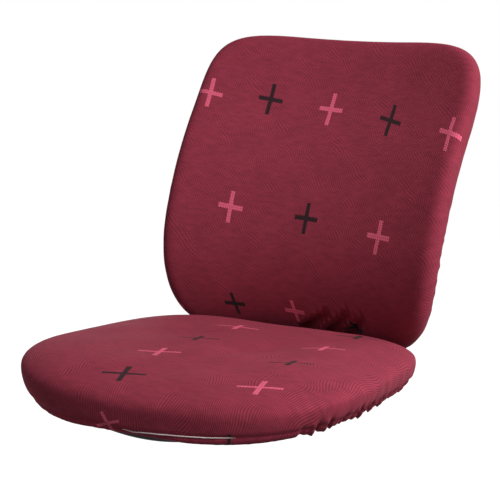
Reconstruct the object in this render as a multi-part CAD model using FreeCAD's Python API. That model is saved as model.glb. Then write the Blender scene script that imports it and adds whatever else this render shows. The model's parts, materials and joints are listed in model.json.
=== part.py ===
import FreeCAD, Part
import math
import os

# Seat and backrest of an office task chair in a two-piece stretch slipcover.
# Millimetres. The origin is the mouth of the column socket, +Z is up and the sitter faces -Y.

# Seat cushion, over its cover
SEAT_WIDTH = 482.0
SEAT_DEPTH = 440.0
SEAT_THICKNESS = 62.0
SEAT_HEIGHT = 46.0
SEAT_CENTRE_Y = -15.0
SEAT_NARROWING = 22.0
SEAT_SIDE_HEIGHT = 42.0
SEAT_DRAW_IN = 54.0
SEAT_SHOULDER = 110.0
SEAT_DISH = 1.5
SEAT_FRONT_POWER = 2.7
SEAT_REAR_POWER = 4.5
WATERFALL_START = 40.0
WATERFALL_DROP = 27.0

# Backrest pad, over its cover; the lean angles are those of its spine at equal steps upwards
BACK_WIDTH = 440.0
BACK_WIDENING = 3.4
BACK_LENGTH = 461.0
BACK_THICKNESS = 41.0
BACK_SETBACK = 42.0
BACK_LIFT = 36.0
BACK_LEANS = (-28.0, 18.4, 35.2, 17.2)
BACK_BOW_FOOT = 33.5
BACK_BOW = 38.0
BACK_FRONT_ROUND = 22.0
BACK_REAR_ROUND = 16.0
BACK_TOP_POWER = 6.0
BACK_FOOT_POWER = 4.5

# Layers inside the covers
COVER_WALL = 1.6
COVER_EASE = 0.3
EDGE_POWER = 5.0
FLAT_LIMIT = 0.01
MOULDING_WALL = 2.6
HEM_WIDTH = 8.0
HEM_FRONT = 16.0
HEM_REAR = 54.0
HEM_CORNER = 90.0
HEM_CUT = 8.0
BACK_HEM_WIDTH = 34.0
ELASTIC_WIDTH = 6.0
ELASTIC_THICKNESS = 3.0
SEAT_BOARD_LIFT = 12.0
SEAT_BOARD_WALL = 11.0
SEAT_BOARD_MARGIN = 58.0
SEAT_BOARD_CORNER = 80.0
PAN_LIP_Y = -200.0
PAN_LIP_FOOT = 17.5
PAN_LIP_RADIUS = 12.0
PAN_LIP_BEND = 300.0
PAN_LIP_HALF = 110.0
PAN_RIM = 14.0
PAN_OPENING_EASE = 5.0
BACK_BOARD_FRONT = 3.0
BACK_BOARD_WALL = 8.0
BACK_BOARD_MARGIN = 42.0
SHELL_RIM = 8.0

# Pressed steel tray of the tilt mechanism
TRAY_INSIDE = 76.0
TRAY_SHEET = 3.0
TRAY_DEPTH = 44.0
TRAY_FRONT = -54.0
TRAY_REAR = 124.0
TRAY_FLOOR_REAR = 38.0
TRAY_FLANGE = 56.0
TRAY_CORNER = 14.0
BOLT_SPACING_X = 160.0
BOLT_SPACING_Y = 150.0
BOLT_CENTRE_Y = 35.0
BOLT_RADIUS = 4.0
BOLT_HEAD_RADIUS = 7.0
BOLT_HEAD = 5.0
BOLT_SOCKET_RADIUS = 2.7
HOLE_EASE = 0.2
CUT_THROUGH = 1.0

# Column socket, a standard self-holding taper
SOCKET_RADIUS = 14.0
SOCKET_HALF_ANGLE = 1.4378
BUSH_RADIUS = 21.0
BUSH_COLLAR_RADIUS = 26.0
BUSH_COLLAR = 5.0
VALVE_ROOM = 16.0

# Recline pivot and its lock
PIVOT_Y = 100.0
PIVOT_DROP = 28.0
PIN_RADIUS = 5.0
PIN_OVERHANG = 8.0
CLIP_WALL = 1.5
CLIP_RADIUS = 8.0
RUNNING_EASE = 0.05
LOCK_REACH = 30.0
LOCK_RADIUS = 4.0
LOCK_SLOT_EASE = 0.4
LOCK_SLOT_SPARE = 2.0
RECLINE_FORWARD = 4.0
RECLINE_BACK = 14.0
FORK_PLATE = 4.0
FORK_GAP = 4.0
FORK_HEIGHT = 26.0
FORK_NOSE_RADIUS = 17.0
FORK_NOSE_DROP = 3.0
FORK_REACH = 72.0
FORK_WEB_START = 26.0
FORK_BOLT_EDGE = 11.0
BUSH_FLANGE_RADIUS = 11.0
BUSH_WALL = 2.0
SIDE_EASE = 0.1

# Bar that carries the backrest
BAR_WIDTH = 50.0
BAR_WALL = 6.0
BAR_LEAN = 11.0
BAR_BEND = 55.0
BAR_STANDOFF = 13.0
BAR_UPRIGHT = 290.0
BAR_START = 18.0
BAR_CORNER = 8.0
SLEEVE_WALL = 2.0
SLEEVE_START = 62.0
SLEEVE_LENGTH = 92.0
CAP_WALL = 4.0
CAP_HEIGHT = 10.0

# Carriage, clamp knob and their fasteners
CARRIAGE_UP = 205.0
CARRIAGE_LENGTH = 74.0
CARRIAGE_WIDTH = 84.0
CARRIAGE_REAR = 14.0
CARRIAGE_EDGE = 5.0
CARRIAGE_REACH = 50.0
CARRIAGE_BOLT_REACH = 66.0
CARRIAGE_SINK = 2.0
SLIDE_EASE = 0.3
CARRIAGE_BOLT_X = 33.0
CARRIAGE_BOLT_PITCH = 48.0
CARRIAGE_BOLT_RADIUS = 3.0
CARRIAGE_HEAD_RADIUS = 5.5
CARRIAGE_HEAD = 4.0
CARRIAGE_SOCKET_RADIUS = 2.5
STUD_RADIUS = 5.0
WASHER_RADIUS = 12.0
WASHER_WALL = 2.0
KNOB_RADIUS = 25.0
KNOB_WALL = 22.0
KNOB_LOBES = 7
KNOB_SCALLOP = 6.0
KNOB_GROOVE = 3.5
KNOB_ROUND = 6.0
STUD_DEPTH = 14.0

# Hand levers
ROD_RADIUS = 4.0
LEVER_PIN_X = -31.0
LEVER_PIN_RADIUS = 2.5
LEVER_LUG = 3.0
LEVER_LUG_GAP = 0.3
LEVER_NOSE = 4.0
LEVER_FLAT = 1.5
LEVER_SLOT_TOP = 6.4
LEVER_KNEE = -48.0
LEVER_DROP = 23.0
LEVER_DROP_RUN = 34.0
LEVER_BEND = 16.0
LEVER_REACH = -165.0
GRIP_START = -146.0
GRIP_END = -236.0
GRIP_WIDTH = 36.0
GRIP_WALL = 9.0
GRIP_SOCKET_RADIUS = 7.5
FLAG_WIDTH = 44.0
FLAG_TILT = 15.0
NUT_ACROSS = 13.0
NUT_WALL = 6.0

# Small fasteners and arm fixing
ARM_HOLE_X = 135.0
ARM_HOLE_SPACING = 70.0
ARM_HOLE_Y = 10.0
TEE_BARREL_WALL = 1.2
TEE_FLANGE_RADIUS = 11.0
TEE_FLANGE = 1.5
FOAM_RELIEF = 10.0
SCREW_RADIUS = 2.0
SCREW_HEAD_RADIUS = 4.5
SCREW_HEAD = 2.0
SCREW_BITE = 6.0
BOSS_RADIUS = 6.0
PAN_SCREW_X = 140.0
PAN_SCREW_Y = (-115.0, 115.0)
SHELL_SCREW_X = 105.0
SHELL_SCREW_S = (130.0, 345.0)

# Places worked out from the sizes above
BOARD_Z = SEAT_HEIGHT + SEAT_BOARD_LIFT
BOARD_TOP = BOARD_Z + SEAT_BOARD_WALL
TRAY_BOTTOM = BOARD_Z - TRAY_DEPTH
CHEEK_X = TRAY_INSIDE / 2
CHEEK_OUT = CHEEK_X + TRAY_SHEET
FLANGE_X = CHEEK_OUT + TRAY_FLANGE
BUSH_TOP = BOARD_Z - VALVE_ROOM
PIVOT_Z = BOARD_Z - PIVOT_DROP
LOCK_Y = PIVOT_Y - LOCK_REACH
FORK_OUT = CHEEK_X - FORK_GAP
FORK_IN = FORK_OUT - FORK_PLATE
WEB_TOP = PIVOT_Z - FORK_HEIGHT / 2 + FORK_PLATE
BAR_Z = WEB_TOP + BAR_WALL / 2
CORE_INSET = COVER_WALL + COVER_EASE
MOULDING_INSET = CORE_INSET + MOULDING_WALL
BACK_FOOT_Y = SEAT_CENTRE_Y + SEAT_DEPTH / 2 + BACK_SETBACK
BACK_FOOT_Z = SEAT_HEIGHT + BACK_LIFT
LEAN = math.radians(BAR_LEAN)
UP = FreeCAD.Vector(0, math.sin(LEAN), math.cos(LEAN))
OUT = FreeCAD.Vector(0, math.cos(LEAN), -math.sin(LEAN))
BAR_FACE_Y = BACK_FOOT_Y + BAR_STANDOFF + BAR_WALL / 2
CORNER = FreeCAD.Vector(0, BAR_FACE_Y - (BACK_FOOT_Z - BAR_Z) * math.tan(LEAN), BAR_Z)
LEVER_Z = BUSH_TOP + ROD_RADIUS + LEVER_FLAT
ACROSS = FreeCAD.Vector(1, 0, 0)
WIDE = 2 * (SEAT_WIDTH + BACK_LENGTH)


def vec(x, y, z):
    return FreeCAD.Vector(x, y, z)


def block(x0, x1, y0, y1, z0, z1):
    return Part.makeBox(x1 - x0, y1 - y0, z1 - z0, vec(x0, y0, z0))


def rod(start, end, radius):
    """Round bar between two points."""
    return Part.makeCylinder(radius, (end - start).Length, start, end - start)


def along_x(x0, x1, y, z, radius):
    return rod(vec(x0, y, z), vec(x1, y, z), radius)


def group(solids):
    return Part.makeCompound(solids)


def quarter_round(start, end):
    """Points of a quarter round in two tangent arcs: flat at start, square to that at end.

    The arcs meet where the tangent is parallel to the diagonal of the round's box.
    """
    run = end[0] - start[0]
    climb = end[1] - start[1]
    wide, tall = abs(run), abs(climb)
    turn = math.atan2(tall, wide)
    sine, cosine = math.sin(turn), math.cos(turn)
    area = sine * cosine - (1 - sine) * (1 - cosine)
    first = (wide * cosine - tall * (1 - sine)) / area
    second = (tall * sine - wide * (1 - cosine)) / area

    def on_first(angle):
        return (start[0] + math.copysign(first * math.sin(angle), run),
                start[1] + math.copysign(first * (1 - math.cos(angle)), climb))

    half_way = (turn + math.pi / 2) / 2
    on_second = (end[0] - math.copysign(second * (1 - math.sin(half_way)), run),
                 end[1] - math.copysign(second * math.cos(half_way), climb))
    return [start, on_first(turn / 2), on_first(turn), on_second, end]


def arc(place, start, middle, end):
    """Arc through three points of a section, or a line where they lie on one."""
    first, second, third = place(*start), place(*middle), place(*end)
    if ((first + third) * 0.5 - second).Length < FLAT_LIMIT:
        return Part.makeLine(first, third)
    return Part.Arc(first, second, third).toShape()


def pad_section(half, low, high, side, draw, shoulder, crown, place):
    """Closed outline of a pad: flat foot, drawn-in lower sides, rounded shoulders, crowned or dished top."""
    rise = quarter_round((half - draw, low), (half, side))
    fall = quarter_round((half - shoulder, high), (half, side))[::-1]
    right = rise + fall[1:]
    left = [(-u, w) for u, w in right[::-1]]
    edges = [arc(place, left[-1], (0, low), right[0])]
    edges += [arc(place, *right[k:k + 3]) for k in range(0, len(right) - 2, 2)]
    edges.append(arc(place, right[-1], (0, high + crown), left[0]))
    edges += [arc(place, *left[k:k + 3]) for k in range(0, len(left) - 2, 2)]
    return Part.Wire(edges)


def fullness(eta, power):
    return (1 - abs(eta) ** power) ** (1 / power)


def stations(count, reach=0.9975):
    """Places along a pad from -1 to 1, closer together towards its ends."""
    return [reach * math.sin(math.pi / 2 * (2 * k / (count - 1) - 1)) for k in range(count)]


def waterfall(y):
    """How far the seat's front has dropped at y: an arc that leaves the flat seat smoothly."""
    start = SEAT_CENTRE_Y - WATERFALL_START
    run = SEAT_DEPTH / 2 - WATERFALL_START
    radius = (run ** 2 + WATERFALL_DROP ** 2) / (2 * WATERFALL_DROP)
    ahead = max(0.0, start - y)
    return math.sqrt(radius ** 2 - ahead ** 2) - radius


def seat_form(inset, count=13):
    """Solid of the seat cushion, drawn in all round by inset."""
    sections = []
    for eta in stations(count):
        y = SEAT_CENTRE_Y + eta * (SEAT_DEPTH / 2 - inset)
        full = fullness(eta, SEAT_FRONT_POWER if eta < 0 else SEAT_REAR_POWER)
        half = (SEAT_WIDTH / 2 - inset - SEAT_NARROWING * eta) * full
        share = half / (SEAT_WIDTH / 2)
        edge = fullness(eta, EDGE_POWER)
        middle = SEAT_HEIGHT + SEAT_THICKNESS / 2 + waterfall(y)
        low = middle - (SEAT_THICKNESS / 2 - inset) * edge
        high = middle + (SEAT_THICKNESS / 2 - inset) * edge
        side = low + (high - low) * SEAT_SIDE_HEIGHT / SEAT_THICKNESS

        def place(u, w, y=y):
            return vec(u, y, w)

        sections.append(pad_section(half, low, high, side, SEAT_DRAW_IN * share, SEAT_SHOULDER * share,
                                    -SEAT_DISH * full * edge, place))
    return Part.makeLoft(sections, True, True)


def seat_slab(low, high):
    """Layer of the seat between two heights above its flat part, dropping with the waterfall."""
    start = SEAT_CENTRE_Y - WATERFALL_START
    front = SEAT_CENTRE_Y - SEAT_DEPTH / 2 - CUT_THROUGH
    rear = SEAT_CENTRE_Y + SEAT_DEPTH
    half_way = (start + front) / 2

    def at(y, z):
        return vec(-WIDE / 2, y, z + waterfall(y))

    wire = Part.Wire([
        Part.makeLine(at(rear, low), at(start, low)),
        Part.Arc(at(start, low), at(half_way, low), at(front, low)).toShape(),
        Part.makeLine(at(front, low), at(front, high)),
        Part.Arc(at(front, high), at(half_way, high), at(start, high)).toShape(),
        Part.makeLine(at(start, high), at(rear, high)),
        Part.makeLine(at(rear, high), at(rear, low))])
    return Part.Face(wire).extrude(vec(WIDE, 0, 0))


def rounded_plan(half, front, rear, corner, low, high):
    """Upright prism with a rectangular plan and rounded corners."""
    solid = block(-half, half, front, rear, low, high)
    return solid.makeFillet(corner, [edge for edge in solid.Edges if abs(edge.tangentAt(0).z) > 0.9])


def spine(s):
    """Place and lean of the backrest's middle surface at a distance s up from its foot: three tangent arcs."""
    y, z = BACK_FOOT_Y, BACK_FOOT_Z
    leans = [math.radians(lean) for lean in BACK_LEANS]
    step = BACK_LENGTH / (len(leans) - 1)
    for start, end in zip(leans, leans[1:]):
        run = min(s, step)
        lean = start + (end - start) * run / step
        radius = step / (end - start)
        y += radius * (math.cos(start) - math.cos(lean))
        z += radius * (math.sin(lean) - math.sin(start))
        s -= run
        if s <= 0:
            break
    return y, z, lean


def back_place(s):
    """Function that puts a point u across and w in front of the middle surface into space."""
    y, z, lean = spine(s)
    bow = BACK_BOW_FOOT + (BACK_BOW - BACK_BOW_FOOT) * min(1.0, 2 * s / BACK_LENGTH)

    def place(u, w):
        behind = -w - bow * (2 * u / BACK_WIDTH) ** 2
        return vec(u, y + behind * math.cos(lean), z - behind * math.sin(lean))

    return place


def back_half(eta, inset):
    power = BACK_TOP_POWER if eta > 0 else BACK_FOOT_POWER
    return (BACK_WIDTH / 2 + BACK_WIDENING * eta - inset) * fullness(eta, power)


def back_form(inset, count=15):
    """Solid of the backrest pad, drawn in all round by inset."""
    sections = []
    for eta in stations(count):
        half = back_half(eta, inset)
        thick = (BACK_THICKNESS / 2 - inset) * fullness(eta, EDGE_POWER)
        share = min(1.0, 3 * half / BACK_WIDTH)
        s = BACK_LENGTH / 2 + eta * (BACK_LENGTH / 2 - inset)
        sections.append(pad_section(half, -thick, thick, 0.0, BACK_REAR_ROUND * share, BACK_FRONT_ROUND * share,
                                    0.0, back_place(s)))
    return Part.makeLoft(sections, True, True)


def back_layer(front, rear, margin, count=11, reach=0.97):
    """Curved sheet of the backrest between two depths in front of its middle surface, margin inside its edge."""
    sections = []
    for eta in stations(count, reach):
        half = back_half(eta, margin)
        place = back_place(BACK_LENGTH / 2 + eta * (BACK_LENGTH / 2 - margin))
        sections.append(Part.Wire([
            Part.Arc(place(-half, rear), place(0, rear), place(half, rear)).toShape(),
            Part.makeLine(place(half, rear), place(half, front)),
            Part.Arc(place(half, front), place(0, front), place(-half, front)).toShape(),
            Part.makeLine(place(-half, front), place(-half, rear))]))
    return Part.makeLoft(sections, True, True)


def behind_back(depth, thickness):
    """Space behind a given depth of the backrest, wider and longer than the pad."""
    sections = []
    for s in [BACK_LENGTH * k / 8 for k in range(9)]:
        place = back_place(s)
        half = BACK_WIDTH / 2 + BACK_WIDENING + COVER_WALL
        sections.append(Part.Wire([
            Part.Arc(place(-half, -depth - thickness), place(0, -depth - thickness),
                     place(half, -depth - thickness)).toShape(),
            Part.makeLine(place(half, -depth - thickness), place(half, -depth)),
            Part.Arc(place(half, -depth), place(0, -depth), place(-half, -depth)).toShape(),
            Part.makeLine(place(-half, -depth), place(-half, -depth - thickness))]))
    return Part.makeLoft(sections, True, True)


def corners_of(half_x, centre_y, spacing_y):
    return [(x, y) for x in (-half_x, half_x) for y in (centre_y - spacing_y / 2, centre_y + spacing_y / 2)]


TRAY_HOLES = corners_of(BOLT_SPACING_X / 2, BOLT_CENTRE_Y, BOLT_SPACING_Y)
ARM_HOLES = corners_of(ARM_HOLE_X, ARM_HOLE_Y, ARM_HOLE_SPACING)
PAN_SCREWS = [(x, y) for x in (-PAN_SCREW_X, PAN_SCREW_X) for y in PAN_SCREW_Y]


def tee_nut(x, y):
    """Tee nut pressed into the seat board from above."""
    barrel = rod(vec(x, y, BOARD_Z + TEE_FLANGE), vec(x, y, BOARD_TOP), BOLT_RADIUS + TEE_BARREL_WALL)
    flange = rod(vec(x, y, BOARD_TOP), vec(x, y, BOARD_TOP + TEE_FLANGE), TEE_FLANGE_RADIUS)
    bore = rod(vec(x, y, BOARD_Z), vec(x, y, BOARD_TOP + FOAM_RELIEF), BOLT_RADIUS + HOLE_EASE)
    return barrel.fuse(flange).cut(bore).removeSplitter()


def tee_nut_room(x, y):
    """Room that a tee nut takes in the board, and its screw's end in the foam."""
    barrel = rod(vec(x, y, BOARD_Z - CUT_THROUGH), vec(x, y, BOARD_TOP), BOLT_RADIUS + TEE_BARREL_WALL)
    return barrel.fuse(rod(vec(x, y, BOARD_TOP), vec(x, y, BOARD_TOP + FOAM_RELIEF), TEE_FLANGE_RADIUS))


def hem_plan(grow, low, high):
    """Prism of the opening inside the seat cover's hem, grown outwards by grow."""
    half = SEAT_WIDTH / 2 - SEAT_DRAW_IN - HEM_WIDTH + grow
    front = SEAT_CENTRE_Y - SEAT_DEPTH / 2 + HEM_FRONT - grow
    rear = SEAT_CENTRE_Y + SEAT_DEPTH / 2 - HEM_REAR + grow
    return rounded_plan(half, front, rear, HEM_CORNER + grow, low, high)


def seat_parts():
    """Cover, hem elastic, foam, board, underpan and their fasteners."""
    core = seat_form(CORE_INSET)
    under = SEAT_HEIGHT - SEAT_THICKNESS
    opening = hem_plan(0.0, under, SEAT_HEIGHT + HEM_CUT)
    cover = seat_form(0.0).cut(seat_form(COVER_WALL)).cut(opening)
    ring = opening.cut(hem_plan(-ELASTIC_WIDTH, under, SEAT_HEIGHT + HEM_CUT))
    elastic = ring.common(seat_form(COVER_WALL - ELASTIC_THICKNESS).cut(seat_form(COVER_WALL)))

    margin = SEAT_BOARD_MARGIN
    board_plan = rounded_plan(SEAT_WIDTH / 2 - margin, SEAT_CENTRE_Y - SEAT_DEPTH / 2 + margin,
                              SEAT_CENTRE_Y + SEAT_DEPTH / 2 - margin, SEAT_BOARD_CORNER, under,
                              BOARD_TOP + CUT_THROUGH)
    board = board_plan.common(seat_slab(BOARD_Z, BOARD_TOP))
    rooms = [tee_nut_room(x, y) for x, y in TRAY_HOLES + ARM_HOLES]
    drilled = board.cut(rooms)

    below_rim = seat_slab(under, SEAT_HEIGHT + PAN_RIM)
    foam = core.cut([below_rim, board] + rooms)

    pan = core.cut(seat_form(MOULDING_INSET)).common(below_rim)
    ease = PAN_OPENING_EASE
    cut_out = rounded_plan(FLANGE_X + ease, TRAY_FRONT - ease, TRAY_REAR + ease, TRAY_CORNER + ease, under, BOARD_Z)
    bosses = []
    screws = []
    for x, y in PAN_SCREWS:
        top = BOARD_Z + waterfall(y)
        foot = SEAT_HEIGHT + CORE_INSET + waterfall(y) + SCREW_HEAD
        bosses.append(rod(vec(x, y, foot), vec(x, y, top), BOSS_RADIUS))
        head = Part.makeCone(SCREW_HEAD_RADIUS, SCREW_RADIUS, SCREW_HEAD, vec(x, y, foot))
        screws.append(head.fuse(rod(vec(x, y, foot), vec(x, y, top + SCREW_BITE), SCREW_RADIUS)).removeSplitter())
    reach_holes = [rod(vec(x, y, under), vec(x, y, BOARD_Z), TEE_FLANGE_RADIUS) for x, y in ARM_HOLES]
    lip_centre = vec(0, PAN_LIP_Y, PAN_LIP_FOOT + PAN_LIP_RADIUS + PAN_LIP_BEND)
    lip = Part.makeTorus(PAN_LIP_BEND, PAN_LIP_RADIUS, lip_centre, vec(0, 1, 0))
    lip_room = block(-PAN_LIP_HALF, PAN_LIP_HALF, PAN_LIP_Y - PAN_LIP_RADIUS, PAN_LIP_Y + PAN_LIP_RADIUS,
                     under, SEAT_HEIGHT)
    lip = lip.common(lip_room).cut(core)
    pan = pan.fuse([boss.cut(board) for boss in bosses] + [lip])
    pan = pan.cut([cut_out] + screws + reach_holes).removeSplitter()
    drilled = drilled.cut(screws)
    return {
        "seat_cover": cover,
        "seat_hem_elastic": elastic,
        "seat_foam": foam,
        "seat_board": drilled,
        "seat_tee_nuts": group([tee_nut(x, y) for x, y in TRAY_HOLES]),
        "arm_tee_nuts": group([tee_nut(x, y) for x, y in ARM_HOLES]),
        "seat_underpan": pan,
        "underpan_screws": group(screws),
    }


def cheek_outline():
    """Side wall of the tray in the YZ plane, its rear corner cut away in an arc."""
    nose = TRAY_CORNER
    reach = PIN_RADIUS + TRAY_CORNER
    points = [(TRAY_FRONT, BOARD_Z), (TRAY_FRONT, TRAY_BOTTOM + nose), (TRAY_FRONT + nose, TRAY_BOTTOM),
              (PIVOT_Y, PIVOT_Z - reach), (PIVOT_Y + reach, PIVOT_Z), (TRAY_REAR, BOARD_Z)]
    at = [vec(0, y, max(z, TRAY_BOTTOM)) for y, z in points]
    swing = reach * math.sqrt(0.5)
    front_bend = vec(0, TRAY_FRONT + nose * (1 - math.sqrt(0.5)), TRAY_BOTTOM + nose * (1 - math.sqrt(0.5)))
    rear_bend = vec(0, PIVOT_Y + swing, PIVOT_Z - swing)
    low_rear = vec(0, PIVOT_Y, PIVOT_Z - reach)
    edges = [Part.makeLine(at[0], at[1]), Part.Arc(at[1], front_bend, at[2]).toShape(),
             Part.makeLine(at[2], low_rear), Part.Arc(low_rear, rear_bend, at[4]).toShape(),
             Part.makeLine(at[4], at[5]), Part.makeLine(at[5], at[0])]
    return Part.Face(Part.Wire(edges))


def tray_parts():
    """Pressed tray, column socket, pivot pins, spacers and bolts."""
    cheeks = []
    for x in (-CHEEK_OUT, CHEEK_X):
        cheeks.append(cheek_outline().extrude(vec(TRAY_SHEET, 0, 0)).translated(vec(x, 0, 0)))
    flange = rounded_plan(FLANGE_X, TRAY_FRONT, TRAY_REAR, TRAY_CORNER, BOARD_Z - TRAY_SHEET, BOARD_Z)
    flange = flange.cut(block(-CHEEK_X, CHEEK_X, TRAY_FRONT + TRAY_SHEET, TRAY_REAR + CUT_THROUGH,
                              0, BOARD_Z + CUT_THROUGH))
    floor = block(-CHEEK_OUT, CHEEK_OUT, TRAY_FRONT + TRAY_CORNER, TRAY_FLOOR_REAR,
                  TRAY_BOTTOM, TRAY_BOTTOM + TRAY_SHEET)
    front = block(-CHEEK_X, CHEEK_X, TRAY_FRONT, TRAY_FRONT + TRAY_SHEET, TRAY_BOTTOM + TRAY_CORNER, BOARD_Z)
    slope = Part.Face(Part.makePolygon([
        vec(-CHEEK_X, TRAY_FRONT, TRAY_BOTTOM + TRAY_CORNER),
        vec(-CHEEK_X, TRAY_FRONT + TRAY_CORNER, TRAY_BOTTOM),
        vec(-CHEEK_X, TRAY_FRONT + TRAY_CORNER, TRAY_BOTTOM + TRAY_SHEET),
        vec(-CHEEK_X, TRAY_FRONT + TRAY_SHEET, TRAY_BOTTOM + TRAY_CORNER),
        vec(-CHEEK_X, TRAY_FRONT, TRAY_BOTTOM + TRAY_CORNER)])).extrude(vec(TRAY_INSIDE, 0, 0))
    lugs = []
    lug_inner = ROD_RADIUS + LEVER_LUG_GAP
    for y in (-lug_inner - LEVER_LUG, lug_inner):
        lug = block(-CHEEK_X, LEVER_PIN_X + 2 * LEVER_PIN_RADIUS, y, y + LEVER_LUG,
                    LEVER_Z - 2 * LEVER_PIN_RADIUS, LEVER_Z + 2 * LEVER_PIN_RADIUS)
        lugs.append(lug)
    pin_reach = lug_inner + LEVER_LUG + CLIP_WALL
    lever_pin = rod(vec(LEVER_PIN_X, -pin_reach, LEVER_Z), vec(LEVER_PIN_X, pin_reach, LEVER_Z), LEVER_PIN_RADIUS)

    cuts = [rod(vec(0, 0, 0), vec(0, 0, BUSH_TOP), BUSH_RADIUS + HOLE_EASE),
            along_x(-WIDE, WIDE, PIVOT_Y, PIVOT_Z, PIN_RADIUS + RUNNING_EASE),
            along_x(-WIDE, WIDE, LOCK_Y, PIVOT_Z, LOCK_RADIUS + RUNNING_EASE),
            block(-CHEEK_OUT - CUT_THROUGH, -CHEEK_X + CUT_THROUGH, -lug_inner, lug_inner,
                  LEVER_Z - 2 * ROD_RADIUS, LEVER_Z + LEVER_SLOT_TOP)]
    cuts += [rod(vec(x, y, TRAY_BOTTOM), vec(x, y, BOARD_Z + CUT_THROUGH), BOLT_RADIUS + HOLE_EASE)
             for x, y in TRAY_HOLES]
    tray = cheeks[0].fuse([cheeks[1], flange, floor, front, slope] + lugs).cut(cuts).removeSplitter()
    tray = tray.cut(lever_pin)

    def socket_radius(z):
        return SOCKET_RADIUS - z * math.tan(math.radians(SOCKET_HALF_ANGLE))

    collar_low = TRAY_BOTTOM + TRAY_SHEET
    chamfer = BUSH_COLLAR / 2
    outline = [(SOCKET_RADIUS, 0), (BUSH_RADIUS - chamfer, 0), (BUSH_RADIUS, chamfer), (BUSH_RADIUS, collar_low),
               (BUSH_COLLAR_RADIUS, collar_low), (BUSH_COLLAR_RADIUS, collar_low + BUSH_COLLAR),
               (BUSH_RADIUS, collar_low + BUSH_COLLAR), (BUSH_RADIUS, BUSH_TOP - chamfer),
               (BUSH_RADIUS - chamfer, BUSH_TOP), (socket_radius(BUSH_TOP), BUSH_TOP), (SOCKET_RADIUS, 0)]
    bush = Part.Face(Part.makePolygon([vec(r, 0, z) for r, z in outline]))
    bush = bush.revolve(vec(0, 0, 0), vec(0, 0, 1), 360)

    pin_end = CHEEK_OUT + PIN_OVERHANG
    pin = along_x(-pin_end, pin_end, PIVOT_Y, PIVOT_Z, PIN_RADIUS)
    clips = []
    for x in (-CHEEK_OUT - CLIP_WALL, CHEEK_OUT):
        clip = along_x(x, x + CLIP_WALL, PIVOT_Y, PIVOT_Z, CLIP_RADIUS)
        mouth = block(x, x + CLIP_WALL, PIVOT_Y - PIN_RADIUS / 2, PIVOT_Y + PIN_RADIUS / 2,
                      PIVOT_Z - 2 * CLIP_RADIUS, PIVOT_Z)
        clips.append(clip.cut([pin, mouth]))
    spacers = []
    for x in (-CHEEK_X + SIDE_EASE, FORK_OUT + SIDE_EASE):
        spacer = along_x(x, x + FORK_GAP - 2 * SIDE_EASE, LOCK_Y, PIVOT_Z, 2 * LOCK_RADIUS)
        spacers.append(spacer.cut(along_x(-WIDE, WIDE, LOCK_Y, PIVOT_Z, LOCK_RADIUS + RUNNING_EASE)))
    bolts = []
    for x, y in TRAY_HOLES:
        head_low = BOARD_Z - TRAY_SHEET - BOLT_HEAD
        head = rod(vec(x, y, head_low), vec(x, y, BOARD_Z - TRAY_SHEET), BOLT_HEAD_RADIUS)
        socket = rod(vec(x, y, head_low), vec(x, y, head_low + BOLT_HEAD / 2), BOLT_SOCKET_RADIUS)
        shank = rod(vec(x, y, head_low), vec(x, y, BOARD_TOP), BOLT_RADIUS)
        bolts.append(head.fuse(shank).cut(socket).removeSplitter())
    return {
        "seat_tray": tray,
        "tray_bolts": group(bolts),
        "taper_bush": bush,
        "lever_pin": lever_pin,
        "recline_pin": pin,
        "pin_clips": group(clips),
        "lock_spacers": group(spacers),
    }


def oval(x, y, z, width, wall):
    """Upright oval across a lever, of two straight sides and two round ends in four arcs."""
    end = wall / 2
    flat = width / 2 - end
    slant = end * math.sqrt(0.5)
    top = [vec(x, y - flat, z + end), vec(x, y + flat, z + end)]
    low = [vec(x, y + flat, z - end), vec(x, y - flat, z - end)]
    rear = vec(x, y + flat + end, z)
    front = vec(x, y - flat - end, z)
    return Part.Wire([
        Part.makeLine(top[0], top[1]),
        Part.Arc(top[1], vec(x, y + flat + slant, z + slant), rear).toShape(),
        Part.Arc(rear, vec(x, y + flat + slant, z - slant), low[0]).toShape(),
        Part.makeLine(low[0], low[1]),
        Part.Arc(low[1], vec(x, y - flat - slant, z - slant), front).toShape(),
        Part.Arc(front, vec(x, y - flat - slant, z + slant), top[0]).toShape()])


def grip(y, z, offset):
    """Moulded paddle on a lever's end: a round socket that spreads into a flat blade."""
    socket = 2 * GRIP_SOCKET_RADIUS
    length = GRIP_START - GRIP_END
    shapes = [(0.0, socket + 0.5, socket, 0.0), (0.14, socket + 1, socket, 0.0), (0.42, GRIP_WIDTH, GRIP_WALL, 1.0),
              (0.92, GRIP_WIDTH, GRIP_WALL, 1.0), (1.0, GRIP_WIDTH - 6, GRIP_WALL / 2, 1.0)]
    wires = [oval(GRIP_START - share * length, y + shift * offset, z, width, wall)
             for share, width, wall, shift in shapes]
    return Part.makeLoft(wires, True, True)


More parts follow.
